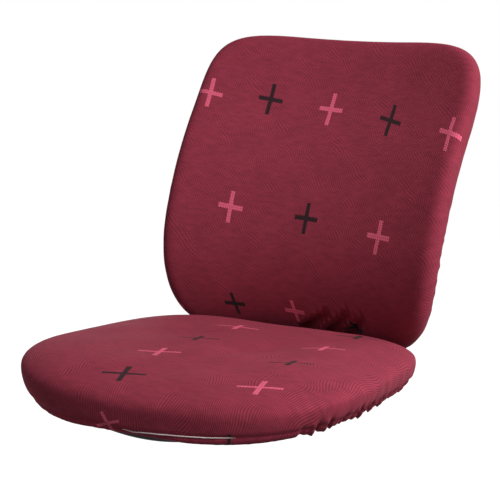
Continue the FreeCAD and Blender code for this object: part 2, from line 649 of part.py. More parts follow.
def lever_parts():
    """Height lever and recline lock lever with their grips."""
    low_z = LEVER_Z - LEVER_DROP
    points = [vec(LEVER_NOSE, 0, LEVER_Z), vec(LEVER_KNEE, 0, LEVER_Z),
              vec(LEVER_KNEE - LEVER_DROP_RUN, 0, low_z), vec(LEVER_REACH, 0, low_z)]
    slope = math.atan2(LEVER_DROP, LEVER_DROP_RUN)
    tangent = LEVER_BEND * math.tan(slope / 2)
    edges = []
    start = points[0]
    for before, bend, after in zip(points, points[1:], points[2:]):
        back = (before - bend).normalize()
        ahead = (after - bend).normalize()
        inward = (back + ahead).normalize()
        first = bend + back * tangent
        last = bend + ahead * tangent
        middle = bend + inward * (LEVER_BEND / math.cos(slope / 2) - LEVER_BEND)
        edges += [Part.makeLine(start, first), Part.Arc(first, middle, last).toShape()]
        start = last
    edges.append(Part.makeLine(start, points[-1]))
    circle = Part.Wire(Part.makeCircle(ROD_RADIUS, points[0], ACROSS))
    lever = Part.Wire(edges).makePipeShell([circle], True, False)
    nose_floor = LEVER_Z - ROD_RADIUS + LEVER_FLAT
    flat = block(LEVER_PIN_X + 2 * LEVER_PIN_RADIUS, LEVER_NOSE + CUT_THROUGH, -WIDE, WIDE, 0, nose_floor)
    bore = rod(vec(LEVER_PIN_X, -WIDE, LEVER_Z), vec(LEVER_PIN_X, WIDE, LEVER_Z), LEVER_PIN_RADIUS + RUNNING_EASE)
    lever = lever.cut([flat, bore])
    height_grip = grip(0, low_z, 0.0).cut(along_x(LEVER_REACH, GRIP_START + CUT_THROUGH, 0, low_z, ROD_RADIUS))

    nut_out = CHEEK_OUT + NUT_WALL
    lock = along_x(LEVER_REACH, nut_out + CLIP_WALL, LOCK_Y, PIVOT_Z, LOCK_RADIUS)
    hexagon = [vec(CHEEK_OUT + SIDE_EASE, LOCK_Y + NUT_ACROSS / math.sqrt(3) * math.cos(math.radians(60 * k)),
                   PIVOT_Z + NUT_ACROSS / math.sqrt(3) * math.sin(math.radians(60 * k))) for k in range(7)]
    nut = Part.Face(Part.makePolygon(hexagon)).extrude(vec(NUT_WALL, 0, 0)).cut(lock)
    flag = grip(LOCK_Y, PIVOT_Z, -(FLAG_WIDTH - GRIP_WIDTH / 2 - GRIP_SOCKET_RADIUS))
    flag = flag.cut(along_x(LEVER_REACH, GRIP_START + CUT_THROUGH, LOCK_Y, PIVOT_Z, LOCK_RADIUS))
    flag = flag.rotated(vec(0, LOCK_Y, PIVOT_Z), ACROSS, FLAG_TILT)
    return {
        "height_lever": lever,
        "height_grip": height_grip,
        "lock_lever": lock,
        "lock_grip": flag,
        "lock_nut": nut,
    }


def swing_slot():
    """Curved slot in the fork that clears the lock rod over the whole recline."""
    wide = LOCK_RADIUS + LOCK_SLOT_EASE
    start = math.radians(180 - RECLINE_FORWARD - LOCK_SLOT_SPARE)
    end = math.radians(180 + RECLINE_BACK + LOCK_SLOT_SPARE)

    def at(radius, angle):
        return vec(-WIDE, PIVOT_Y + radius * math.cos(angle), PIVOT_Z + radius * math.sin(angle))

    middle = (start + end) / 2
    inner = LOCK_REACH - wide
    outer = LOCK_REACH + wide
    strip = Part.Face(Part.Wire([
        Part.Arc(at(inner, start), at(inner, middle), at(inner, end)).toShape(),
        Part.makeLine(at(inner, end), at(outer, end)),
        Part.Arc(at(outer, end), at(outer, middle), at(outer, start)).toShape(),
        Part.makeLine(at(outer, start), at(inner, start))])).extrude(vec(2 * WIDE, 0, 0))
    ends = [rod(at(LOCK_REACH, angle), at(LOCK_REACH, angle) + vec(2 * WIDE, 0, 0), wide) for angle in (start, end)]
    return strip.fuse(ends)


def support_parts():
    """Fork on the recline pin, its bushes, the bent bar with its sleeve, cap and bolts."""
    half = FORK_HEIGHT / 2
    plates = []
    for x in (-FORK_OUT, FORK_IN):
        tail = block(x, x + FORK_PLATE, LOCK_Y, PIVOT_Y + FORK_REACH, PIVOT_Z - half, PIVOT_Z + half)
        taper = Part.Face(Part.makePolygon([
            vec(x, PIVOT_Y + half, PIVOT_Z + half), vec(x, PIVOT_Y + FORK_REACH, PIVOT_Z + half),
            vec(x, PIVOT_Y + FORK_REACH, PIVOT_Z), vec(x, PIVOT_Y + half, PIVOT_Z + half)]))
        tail = tail.cut(taper.extrude(vec(FORK_PLATE, 0, 0)))
        nose = along_x(x, x + FORK_PLATE, LOCK_Y, PIVOT_Z - FORK_NOSE_DROP, FORK_NOSE_RADIUS)
        plates.append(tail.fuse(nose))
    web = block(-FORK_OUT, FORK_OUT, PIVOT_Y + FORK_WEB_START, PIVOT_Y + FORK_REACH,
                WEB_TOP - FORK_PLATE, WEB_TOP)
    bolt_y = [PIVOT_Y + FORK_WEB_START + FORK_BOLT_EDGE, PIVOT_Y + FORK_REACH - FORK_BOLT_EDGE]
    bolt_holes = [rod(vec(0, y, 0), vec(0, y, BOARD_Z), BOLT_RADIUS + HOLE_EASE) for y in bolt_y]
    pivot_hole = along_x(-WIDE, WIDE, PIVOT_Y, PIVOT_Z, PIN_RADIUS + BUSH_WALL)
    bracket = plates[0].fuse([plates[1], web]).cut([pivot_hole, swing_slot()] + bolt_holes).removeSplitter()

    bore = along_x(-WIDE, WIDE, PIVOT_Y, PIVOT_Z, PIN_RADIUS + RUNNING_EASE)
    bushes = []
    for x0, x1, f0, f1 in ((-FORK_OUT, -FORK_IN, -CHEEK_X + SIDE_EASE, -FORK_OUT),
                           (FORK_IN, FORK_OUT, FORK_OUT, CHEEK_X - SIDE_EASE)):
        sleeve = along_x(x0, x1, PIVOT_Y, PIVOT_Z, PIN_RADIUS + BUSH_WALL)
        lip = along_x(f0, f1, PIVOT_Y, PIVOT_Z, BUSH_FLANGE_RADIUS)
        bushes.append(sleeve.fuse(lip).cut(bore).removeSplitter())

    turn = math.pi / 2 - LEAN
    tangent = BAR_BEND * math.tan(turn / 2)
    start = vec(0, PIVOT_Y + BAR_START, BAR_Z)
    flat_end = CORNER - vec(0, tangent, 0)
    rise = CORNER + UP * tangent
    inward = (UP - vec(0, 1, 0)).normalize()
    middle = CORNER + inward * (BAR_BEND / math.cos(turn / 2) - BAR_BEND)
    path = Part.Wire([Part.makeLine(start, flat_end), Part.Arc(flat_end, middle, rise).toShape(),
                      Part.makeLine(rise, CORNER + UP * BAR_UPRIGHT)])
    side = BAR_WIDTH / 2
    strip = [start + vec(x, 0, z) for x, z in ((-side, -BAR_WALL / 2), (side, -BAR_WALL / 2),
                                               (side, BAR_WALL / 2), (-side, BAR_WALL / 2), (-side, -BAR_WALL / 2))]
    bar = path.makePipeShell([Part.makePolygon(strip)], True, False)
    top = [edge for edge in bar.Edges if abs(edge.Length - BAR_WALL) < 0.01
           and edge.CenterOfMass.z > (CORNER + UP * (BAR_UPRIGHT - BAR_WALL)).z]
    bar = bar.makeFillet(BAR_CORNER, top).cut(bolt_holes)
    bolts = []
    for y in bolt_y:
        low = WEB_TOP - FORK_PLATE
        head = rod(vec(0, y, low - BOLT_HEAD), vec(0, y, low), BOLT_HEAD_RADIUS)
        shank = rod(vec(0, y, low - BOLT_HEAD), vec(0, y, BAR_Z + BAR_WALL), BOLT_RADIUS)
        nut = rod(vec(0, y, BAR_Z + BAR_WALL / 2), vec(0, y, BAR_Z + BAR_WALL), BOLT_HEAD_RADIUS)
        bolts.append(head.fuse([shank, nut]).removeSplitter())

    sleeve = bar_block(SLEEVE_START, SLEEVE_START + SLEEVE_LENGTH, side + SLIDE_EASE + SLEEVE_WALL,
                       BAR_WALL / 2 + SLIDE_EASE + SLEEVE_WALL)
    sleeve = sleeve.makeFillet(SLEEVE_WALL, upright_edges(sleeve))
    sleeve = sleeve.cut(bar_block(0, BAR_UPRIGHT, side + SLIDE_EASE, BAR_WALL / 2 + SLIDE_EASE))
    cap = bar_block(BAR_UPRIGHT - CAP_HEIGHT / 2, BAR_UPRIGHT + CAP_HEIGHT / 2, side + CAP_WALL,
                    BAR_WALL / 2 + CAP_WALL)
    cap = cap.makeFillet(CAP_WALL / 2, upright_edges(cap)).cut(bar)
    return {
        "back_bracket": bracket,
        "pivot_bushes": group(bushes),
        "back_bar": bar,
        "bar_bolts": group(bolts),
        "bar_sleeve": sleeve,
        "bar_cap": cap,
    }


def bar_block(low, high, half, depth, front=None):
    """Block around the bar's upright, between two distances up from its corner."""
    ahead = depth if front is None else front
    foot = CORNER + UP * low
    wire = Part.makePolygon([foot + ACROSS * x + OUT * n for x, n in (
        (-half, -ahead), (half, -ahead), (half, depth), (-half, depth), (-half, -ahead))])
    return Part.Face(wire).extrude(UP * (high - low))


def upright_edges(solid):
    return [edge for edge in solid.Edges if abs(edge.tangentAt(0).dot(UP)) > 0.99]


CARRIAGE_BOLTS = [(x, CARRIAGE_UP + t) for x in (-CARRIAGE_BOLT_X, CARRIAGE_BOLT_X)
                  for t in (-CARRIAGE_BOLT_PITCH / 2, CARRIAGE_BOLT_PITCH / 2)]


def on_bar(x, up, out):
    return CORNER + ACROSS * x + UP * up + OUT * out


def backrest_fasteners(board):
    """Bolts from the carriage and screws of the rear shell, each with what it bites into in the board."""
    bolts, inserts, bosses, screws = [], [], [], []
    for x, up in CARRIAGE_BOLTS:
        head_face = on_bar(x, up, CARRIAGE_REAR - CARRIAGE_SINK)
        far = on_bar(x, up, -CARRIAGE_BOLT_REACH)
        bite = rod(head_face, far, CARRIAGE_BOLT_RADIUS).common(board).Solids[0].CenterOfMass
        inner = head_face - OUT * (head_face - bite).dot(OUT)
        shank = rod(head_face - OUT * CARRIAGE_HEAD, inner, CARRIAGE_BOLT_RADIUS)
        head = rod(head_face - OUT * CARRIAGE_HEAD, head_face, CARRIAGE_HEAD_RADIUS)
        socket = rod(head_face - OUT * (CARRIAGE_HEAD / 2), head_face, CARRIAGE_SOCKET_RADIUS)
        bolts.append(shank.fuse(head).cut(socket).removeSplitter())
        inserts.append(board.common(rod(head_face, far, CARRIAGE_BOLT_RADIUS + TEE_BARREL_WALL)).cut(bolts[-1]))
        bosses.append(rod(on_bar(x, up, 0), far, BOSS_RADIUS))
    for x in (-SHELL_SCREW_X, SHELL_SCREW_X):
        for s in SHELL_SCREW_S:
            place = back_place(s)
            outer = place(x, CORE_INSET - BACK_THICKNESS / 2)
            inner = place(x, -BACK_BOARD_FRONT - BACK_BOARD_WALL)
            inward = (inner - outer).normalize()
            head = Part.makeCone(SCREW_HEAD_RADIUS, SCREW_RADIUS, SCREW_HEAD, outer, inward)
            screws.append(head.fuse(rod(outer, inner + inward * SCREW_BITE, SCREW_RADIUS)).removeSplitter())
            bosses.append(rod(outer + inward * SCREW_HEAD, inner + inward * SCREW_BITE, BOSS_RADIUS))
    return bolts, inserts, bosses, screws


def back_parts():
    """Carriage on the bar, backrest board, foam, cover, hem elastic, rear shell and fasteners."""
    core = back_form(CORE_INSET)
    shell_space = behind_back(SHELL_RIM, BACK_THICKNESS)
    board = back_layer(-BACK_BOARD_FRONT, -BACK_BOARD_FRONT - BACK_BOARD_WALL, BACK_BOARD_MARGIN)
    opening = back_layer(-SHELL_RIM, -BACK_THICKNESS, BACK_HEM_WIDTH)
    filled = back_form(COVER_WALL)
    cover = back_form(0.0).cut(filled).cut(opening)
    outside = BACK_THICKNESS / 2 - COVER_WALL
    band = back_layer(-outside, -outside - ELASTIC_THICKNESS, BACK_HEM_WIDTH)
    elastic = band.cut([back_layer(0.0, -BACK_THICKNESS, BACK_HEM_WIDTH + ELASTIC_WIDTH), filled])

    bolts, inserts, bosses, screws = backrest_fasteners(board)
    foam = core.cut([shell_space, board] + bolts + screws)
    shell = core.cut(back_form(MOULDING_INSET)).common(shell_space)
    bosses = [boss.common(core).common(shell_space).cut(board) for boss in bosses]
    shell = shell.fuse(bosses).cut(bolts + screws).removeSplitter()

    low = CARRIAGE_UP - CARRIAGE_LENGTH / 2
    carriage = bar_block(low, low + CARRIAGE_LENGTH, CARRIAGE_WIDTH / 2, CARRIAGE_REAR, CARRIAGE_REACH)
    rear = [edge for edge in upright_edges(carriage) if (edge.CenterOfMass - CORNER).dot(OUT) > 0]
    carriage = carriage.makeFillet(CARRIAGE_EDGE, rear)
    slot = bar_block(0, BAR_UPRIGHT, BAR_WIDTH / 2 + SLIDE_EASE, BAR_WALL / 2 + SLIDE_EASE)
    stud_bore = rod(on_bar(0, CARRIAGE_UP, 0), on_bar(0, CARRIAGE_UP, WIDE), STUD_RADIUS + RUNNING_EASE)
    holes = []
    for x, up in CARRIAGE_BOLTS:
        head_seat = on_bar(x, up, CARRIAGE_REAR - CARRIAGE_SINK - CARRIAGE_HEAD)
        holes.append(rod(head_seat, on_bar(x, up, WIDE), CARRIAGE_HEAD_RADIUS))
        holes.append(rod(on_bar(x, up, -CARRIAGE_BOLT_REACH), head_seat, CARRIAGE_BOLT_RADIUS))
    carriage = carriage.cut([slot, stud_bore, core] + holes)
    return {
        "back_cover": cover,
        "back_hem_elastic": elastic,
        "back_foam": foam,
        "back_board": board.cut(bolts + inserts + screws),
        "back_inserts": group(inserts),
        "back_shell": shell,
        "shell_screws": group(screws),
        "back_carriage": carriage,
        "carriage_bolts": group(bolts),
    }


def knob_parts():
    """Clamp knob with its stud, and the washer that travels with them."""
    face = on_bar(0, CARRIAGE_UP, CARRIAGE_REAR + SIDE_EASE)
    seat = face + OUT * WASHER_WALL
    tip = on_bar(0, CARRIAGE_UP, BAR_WALL / 2 + SLIDE_EASE)
    stud = rod(tip, seat + OUT * STUD_DEPTH, STUD_RADIUS)
    washer = rod(face, seat, WASHER_RADIUS).cut(rod(tip, seat + OUT, STUD_RADIUS + RUNNING_EASE))
    outline = [(0, 0), (WASHER_RADIUS, 0), (KNOB_RADIUS, KNOB_ROUND), (KNOB_RADIUS, KNOB_WALL - KNOB_ROUND),
               (KNOB_RADIUS - KNOB_ROUND, KNOB_WALL), (0, KNOB_WALL), (0, 0)]
    knob = Part.Face(Part.makePolygon([vec(r, 0, z) for r, z in outline]))
    knob = knob.revolve(vec(0, 0, 0), vec(0, 0, 1), 360)
    scallops = []
    for lobe in range(KNOB_LOBES):
        angle = 2 * math.pi * lobe / KNOB_LOBES
        reach = KNOB_RADIUS + KNOB_SCALLOP - KNOB_GROOVE
        foot = vec(reach * math.cos(angle), reach * math.sin(angle), 0)
        scallops.append(Part.makeCylinder(KNOB_SCALLOP, KNOB_WALL, foot))
    knob = knob.cut(scallops)
    knob.Placement = FreeCAD.Placement(seat, FreeCAD.Rotation(vec(0, 0, 1), OUT))
    return {"knob_washer": washer, "clamp_stud": stud, "height_knob": knob.cut(stud)}


def build():
    nodes = {}
    nodes.update(seat_parts())
    nodes.update(tray_parts())
    nodes.update(lever_parts())
    nodes.update(support_parts())
    nodes.update(back_parts())
    nodes.update(knob_parts())
    return nodes


os.makedirs("parts", exist_ok=True)
for name, shape in build().items():
    print(name, len(shape.Solids), round(shape.Volume), shape.isValid())
    shape.exportStep("parts/" + name + ".step")
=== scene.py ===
import json
import math

import bpy
import numpy as np
from mathutils import Matrix, Vector


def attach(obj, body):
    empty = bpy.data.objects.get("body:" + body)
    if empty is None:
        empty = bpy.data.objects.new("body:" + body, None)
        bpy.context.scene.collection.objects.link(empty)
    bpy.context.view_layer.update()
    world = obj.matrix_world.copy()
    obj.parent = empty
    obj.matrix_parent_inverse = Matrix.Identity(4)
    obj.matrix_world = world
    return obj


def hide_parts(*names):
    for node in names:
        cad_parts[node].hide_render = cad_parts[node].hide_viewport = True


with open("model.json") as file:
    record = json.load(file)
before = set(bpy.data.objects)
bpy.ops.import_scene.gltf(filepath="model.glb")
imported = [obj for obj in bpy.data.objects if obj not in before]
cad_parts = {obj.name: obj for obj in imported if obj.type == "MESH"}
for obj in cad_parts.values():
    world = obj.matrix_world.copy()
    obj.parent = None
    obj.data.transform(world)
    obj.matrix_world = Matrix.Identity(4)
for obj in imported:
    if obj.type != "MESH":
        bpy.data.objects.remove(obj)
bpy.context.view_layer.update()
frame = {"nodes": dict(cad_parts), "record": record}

# Covered seat pad, in millimetres; plan places are measured from its centre
SEAT_WIDTH = 482.0
SEAT_DEPTH = 440.0
SEAT_THICKNESS = 62.0
SEAT_HEIGHT = 46.0
SEAT_CENTRE_Y = -15.0
SEAT_NARROWING = 22.0
SEAT_SIDE_HEIGHT = 42.0
SEAT_DRAW_IN = 54.0
SEAT_SHOULDER = 110.0
SEAT_SHOULDER_POWER = 2.3
SEAT_DISH = 1.5
SEAT_FRONT_POWER = 2.7
SEAT_REAR_POWER = 4.5
WATERFALL_START = 40.0
WATERFALL_DROP = 27.0

# Covered back pad; the lean angles are those of its spine at equal steps upwards
BACK_WIDTH = 440.0
BACK_WIDENING = 3.4
BACK_LENGTH = 461.0
BACK_THICKNESS = 41.0
BACK_FOOT_Y = 247.0
BACK_FOOT_Z = 82.0
BACK_LEANS = (-28.0, 18.4, 35.2, 17.2)
BACK_BOW_FOOT = 33.5
BACK_BOW = 38.0
BACK_FRONT_ROUND = 22.0
BACK_REAR_ROUND = 16.0
BACK_RIM_POWER = 2.6
BACK_TOP_POWER = 6.0
BACK_FOOT_POWER = 4.5
EDGE_POWER = 5.0

# Grids of the slipcovers and cushions: places round the edge, and rings or samples along each line
AROUND = 840
PLAN_SAMPLES = 8000
LINE_SAMPLES = 110
CROWN_RINGS = 34
CROWN_CROWDING = 1.6
SIDE_RINGS = 12
FRILL_RINGS = 8
GATHER_RING = CROWN_RINGS + SIDE_RINGS - 1
CUSHION_RINGS = 58
CUSHION_STEP = 4

# Cushions: room under the cloth, and the hollow of the seat's underside with where its rim begins and ends
CUSHION_GAP = 6.0
SEAT_HOLLOW = 20.0
HOLLOW_RIM = (35.0, 62.0)

# Slipcovers: cloth, gathered hem and its drawn elastic
CLOTH = 1.2
SEAT_GATHER_END = 17.5
SEAT_GATHER_LEFT = 34.0
SEAT_GATHER_RIGHT = 24.0
SEAT_FRILL = 8.0
SEAT_FRILL_SIDE = 13.0
BACK_GATHER_TOP = 30.0
BACK_GATHER_FOOT = 16.0
BACK_FRILL = 12.0
GROOVE = 1.6
GROOVE_WIDTH = 3.0
ELASTIC_RADIUS = 0.8

# Gathers: wave length, height, how far above the elastic they die away, and how much their count varies;
# past the elastic they flare by a share, and the frill's edge is uneven by a share of its depth, with a wave
# length and spread of its own
FOLDS = ((10.0, 0.9, 9.0, 0.25), (19.0, 1.6, 16.0, 0.35), (36.0, 0.7, 45.0, 0.4))
FLARE = 0.4
UNEVEN = (0.14, 24.0, 0.5)

# How strong the gathers are: least and full on the seat, full past its right edge and a share of that behind;
# on the back, at its top and at its foot
SEAT_SMOOTH = 0.08
SEAT_GATHERED = 1.0
RIGHT_EDGE = (198.0, 216.0)
REAR_SHARE = 0.5
REAR_START = (-20.0, 120.0)
BACK_SMOOTH = 0.25
BACK_GATHERED = 0.45
BACK_LOW = (40.0, -90.0)
SEAT_SEED = 7
BACK_SEED = 12

# Where the seat's elastic has slipped out of its hem at the front, and where it comes out and goes in again
ELASTIC_FRONT = (-150.0, -200.0)
ELASTIC_OUT = (-35.0, 10.0)
ELASTIC_IN = (182.0, 92.0)

MM = 0.001


def superellipse(eta, power):
    """Half-width, from 0 to 1, of a superellipse at eta from -1 to 1 along its length."""
    return (1 - np.abs(eta) ** power) ** (1 / power)


def signed_power(value, power):
    """Power of a value's size, with the value's sign."""
    return np.sign(value) * np.abs(value) ** power


def plan_outline(width, length, narrowing, low_power, high_power, count):
    """Closed plan curve of a pad, and its length.

    Two half superellipses of different power meet at the widest place; the width changes evenly by
    narrowing towards either end. The points are evenly spaced along the curve.
    """
    turn = np.linspace(0, 2 * np.pi, PLAN_SAMPLES)
    power = np.where(np.sin(turn) < 0, low_power, high_power)
    eta = signed_power(np.sin(turn), 2 / power)
    x = (width / 2 - narrowing * eta) * signed_power(np.cos(turn), 2 / power)
    y = eta * length / 2
    run = np.concatenate([[0], np.cumsum(np.hypot(np.diff(x), np.diff(y)))])
    at = np.linspace(0, run[-1], count, endpoint=False)
    return np.stack([np.interp(at, run, x), np.interp(at, run, y)], 1), run[-1]


def seat_point(x, y, lower):
    """Point of the seat over a plan place.

    Across, the top is a shallow dish between two quarter ellipses and the underside is flat between
    two deeper ones; lengthwise both close in a superellipse, and the front falls along an arc.
    """
    eta = np.clip(y / (SEAT_DEPTH / 2), -1, 1)
    full = superellipse(eta, np.where(eta < 0, SEAT_FRONT_POWER, SEAT_REAR_POWER))
    edge = superellipse(eta, EDGE_POWER)
    half = (SEAT_WIDTH / 2 - SEAT_NARROWING * eta) * full
    across = np.clip(np.abs(x) / np.maximum(half, 1e-6), 0, 1)

    fall_run = SEAT_DEPTH / 2 - WATERFALL_START
    fall_radius = (fall_run ** 2 + WATERFALL_DROP ** 2) / (2 * WATERFALL_DROP)
    ahead = np.clip(-WATERFALL_START - y, 0, fall_run)
    fall = np.sqrt(fall_radius ** 2 - ahead ** 2) - fall_radius

    middle = SEAT_HEIGHT + SEAT_THICKNESS / 2 + fall
    low = middle - SEAT_THICKNESS / 2 * edge
    high = middle + SEAT_THICKNESS / 2 * edge
    side = low + (high - low) * SEAT_SIDE_HEIGHT / SEAT_THICKNESS

    def quarter(depth, power):
        share = depth / (SEAT_WIDTH / 2)
        return superellipse(np.clip((across - 1 + share) / share, 0, 1), power)

    flat = 1 - SEAT_SHOULDER / (SEAT_WIDTH / 2)
    dish = SEAT_DISH * full * edge * np.clip(1 - (across / flat) ** 2, 0, 1)
    top = side + (high - side) * quarter(SEAT_SHOULDER, SEAT_SHOULDER_POWER) - dish
    foot = side - (side - low) * quarter(SEAT_DRAW_IN, 2.0)
    return np.stack([x, y + SEAT_CENTRE_Y, np.where(lower, foot, top)], -1)


def back_spine(s):
    """y, z and lean of the back's middle surface at a distance s from its foot, on equal tangent arcs."""
    leans = np.radians(BACK_LEANS)
    step = BACK_LENGTH / (len(leans) - 1)
    y = np.full(s.shape, BACK_FOOT_Y)
    z = np.full(s.shape, BACK_FOOT_Z)
    lean = np.full(s.shape, leans[0])
    for k, (start, end) in enumerate(zip(leans, leans[1:])):
        run = np.clip(s - k * step, 0, step)
        turned = start + (end - start) * run / step
        radius = step / (end - start)
        y = y + radius * (np.cos(start) - np.cos(turned))
        z = z + radius * (np.sin(turned) - np.sin(start))
        lean = np.where(run > 0, turned, lean)
    return y, z, lean


def back_point(u, v, rear):
    """Point of the back at u across and v up from its centre, on its front or rear face.

    Both faces are one middle surface, bowed forward at its sides, plus or minus a thickness that
    closes across in quarter ellipses, fuller in front, and lengthwise in a superellipse. The ellipses
    shrink towards the ends, where the back is narrower than a third of its width.
    """
    eta = np.clip(v / (BACK_LENGTH / 2), -1, 1)
    full = superellipse(eta, np.where(eta < 0, BACK_FOOT_POWER, BACK_TOP_POWER))
    half = (BACK_WIDTH / 2 + BACK_WIDENING * eta) * full
    thick = BACK_THICKNESS / 2 * superellipse(eta, EDGE_POWER)
    depth = np.where(rear, BACK_REAR_ROUND, BACK_FRONT_ROUND) * np.minimum(1, 3 * half / BACK_WIDTH)
    turn = np.clip((np.abs(u) - half + depth) / np.maximum(depth, 1e-6), 0, 1)
    ahead = thick * np.where(rear, -superellipse(turn, 2.0), superellipse(turn, BACK_RIM_POWER))
    s = v + BACK_LENGTH / 2
    y, z, lean = back_spine(s)
    bow = BACK_BOW_FOOT + (BACK_BOW - BACK_BOW_FOOT) * np.clip(2 * s / BACK_LENGTH, 0, 1)
    behind = -ahead - bow * (2 * u / BACK_WIDTH) ** 2
    return np.stack([u, y + behind * np.cos(lean), z - behind * np.sin(lean)], -1)


def pad_lines(outline, point, reach=0.5):
    """Lines from the crown's middle over the edge and back below to reach of the plan: points and run.

    The plan share goes from 0 to 1 and back as 1 minus a cube, so that points crowd at the edge.
    """
    rise = np.linspace(0, 1, LINE_SAMPLES)
    share = np.concatenate([1 - (1 - rise) ** 3, 1 - rise[1:] ** 3 * (1 - reach)])
    lower = np.broadcast_to(np.arange(len(share)) >= LINE_SAMPLES, (len(outline), len(share)))
    plan = outline[:, None] * share[None, :, None]
    points = point(plan[..., 0], plan[..., 1], lower)
    steps = np.linalg.norm(np.diff(points, axis=1), axis=2)
    run = np.concatenate([np.zeros((len(points), 1)), np.cumsum(steps, axis=1)], 1)
    return points, run


def along_lines(points, run, wanted):
    """Points at wanted distances along each line, between its two nearest samples."""
    index = np.clip((run[:, None, :] <= wanted[:, :, None]).sum(-1) - 1, 0, run.shape[1] - 2)
    start = np.take_along_axis(run, index, 1)
    end = np.take_along_axis(run, index + 1, 1)
    share = ((wanted - start) / np.maximum(end - start, 1e-9))[..., None]
    first = np.take_along_axis(points, index[..., None], 1)
    second = np.take_along_axis(points, index[..., None] + 1, 1)
    return first + (second - first) * share


def grid_normals(points):
    """Outward unit normals of a grid that closes round its first axis and runs down from a crown."""
    around = np.roll(points, -1, 0) - np.roll(points, 1, 0)
    down = np.gradient(points, axis=1)
    normal = np.cross(down, around)
    return normal / np.maximum(np.linalg.norm(normal, axis=2, keepdims=True), 1e-9)


def smooth_step(value, start, end):
    """From 0 at start to 1 at end along a cubic that is level at both."""
    share = np.clip((value - start) / (end - start), 0, 1)
    return share * share * (3 - 2 * share)


def ring_noise(random, count, spread):
    """Wave round a closed edge, about count periods long and from about -1 to 1.

    Cosines of all the whole counts near the wanted one are added, with random phases and bell-shaped
    weights, so that its folds differ in width and depth and still close on themselves.
    """
    turn = np.linspace(0, 2 * np.pi, AROUND, endpoint=False)
    width = max(1.0, spread * count)
    counts = np.arange(max(1, round(count - 2 * width)), round(count + 2 * width) + 1)
    weights = np.exp(-((counts - count) / width) ** 2)
    phases = random.uniform(0, 2 * np.pi, len(counts))
    wave = (weights[:, None] * np.cos(counts[:, None] * turn + phases[:, None])).sum(0)
    return wave / (1.6 * wave.std())


def slipcover_grid(outline, length, point, gather, frill, strength, seed):
    """Grid of a fitted cover in stretch cloth: points, normals and cloth places.

    The cover follows the pad's lines over its edge to the gather line, where the elastic draws a groove,
    and ends in an uneven frill. Folds of three sizes grow towards that line along the surface's normal.
    """
    random = np.random.default_rng(seed)
    points, run = pad_lines(outline, point)
    edge = run[:, LINE_SAMPLES - 1:LINE_SAMPLES]
    line = edge + gather[:, None]
    crown = 1 - (1 - np.linspace(0, 1, CROWN_RINGS + 1)[1:]) ** CROWN_CROWDING
    side = np.linspace(0, 1, SIDE_RINGS + 1)[1:]
    hem = np.linspace(0, 1, FRILL_RINGS + 1)[1:]
    share, wave, spread = UNEVEN
    uneven = frill * (1 + share * strength * ring_noise(random, length / wave, spread))
    wanted = np.concatenate([edge * crown, edge + (line - edge) * side, line + uneven[:, None] * hem], 1)
    grid = along_lines(points, run, wanted)
    normal = grid_normals(grid)
    past = wanted - line
    lift = np.zeros(past.shape)
    for wave, height, fade, spread in FOLDS:
        folds = ring_noise(random, length / wave, spread)[:, None]
        flare = 1 + FLARE * np.clip(past, 0, None) / frill[:, None]
        lift += height * folds * smooth_step(past, -fade, 0) * flare
    lift = lift * strength[:, None] - GROOVE * np.exp(-(past / GROOVE_WIDTH) ** 2)
    heading = np.arctan2(outline[:, 1], outline[:, 0])[:, None]
    cloth = np.stack([wanted * np.cos(heading), wanted * np.sin(heading)], -1)
    return grid + normal * (lift + CLOTH)[..., None], normal, cloth


def pole_mesh(name, poles, grid):
    """Mesh of a grid of rings: a fan round each of its one or two poles, and quads between the rings."""
    count, rings = grid.shape[:2]
    index = len(poles) + np.arange(count * rings).reshape(count, rings)
    after = np.roll(index, -1, 0)
    faces = np.stack([np.zeros(count, int), index[:, 0], after[:, 0]], 1).tolist()
    if len(poles) > 1:
        faces += np.stack([np.ones(count, int), after[:, -1], index[:, -1]], 1).tolist()
    faces += np.stack([index[:, :-1], index[:, 1:], after[:, 1:], after[:, :-1]], -1).reshape(-1, 4).tolist()
    vertices = np.concatenate([poles, grid.reshape(-1, 3)]) * MM
    mesh = bpy.data.meshes.new(name)
    mesh.from_pydata(vertices.tolist(), [], faces)
    return mesh


def cover_piece(name, pole, grid, cloth):
    """Slipcover, open at its hem, with its cloth places as a UV map in metres and its thickness inwards."""
    mesh = pole_mesh(name, [pole], grid)
    places = np.concatenate([[[0, 0]], cloth.reshape(-1, 2)]) * MM
    corners = np.zeros(len(mesh.loops), int)
    mesh.loops.foreach_get("vertex_index", corners)
    mesh.uv_layers.new(name="cloth").data.foreach_set("uv", places[corners].ravel())
    piece = placed(name, mesh)
    wall = piece.modifiers.new("cloth", "SOLIDIFY")
    wall.thickness = CLOTH * MM
    wall.offset = -1.0
    return piece


def placed(name, mesh):
    """Object of a mesh, smooth shaded, at the origin."""
    mesh.polygons.foreach_set("use_smooth", np.ones(len(mesh.polygons), bool))
    mesh.update()
    piece = bpy.data.objects.new(name, mesh)
    bpy.context.scene.collection.objects.link(piece)
    return piece


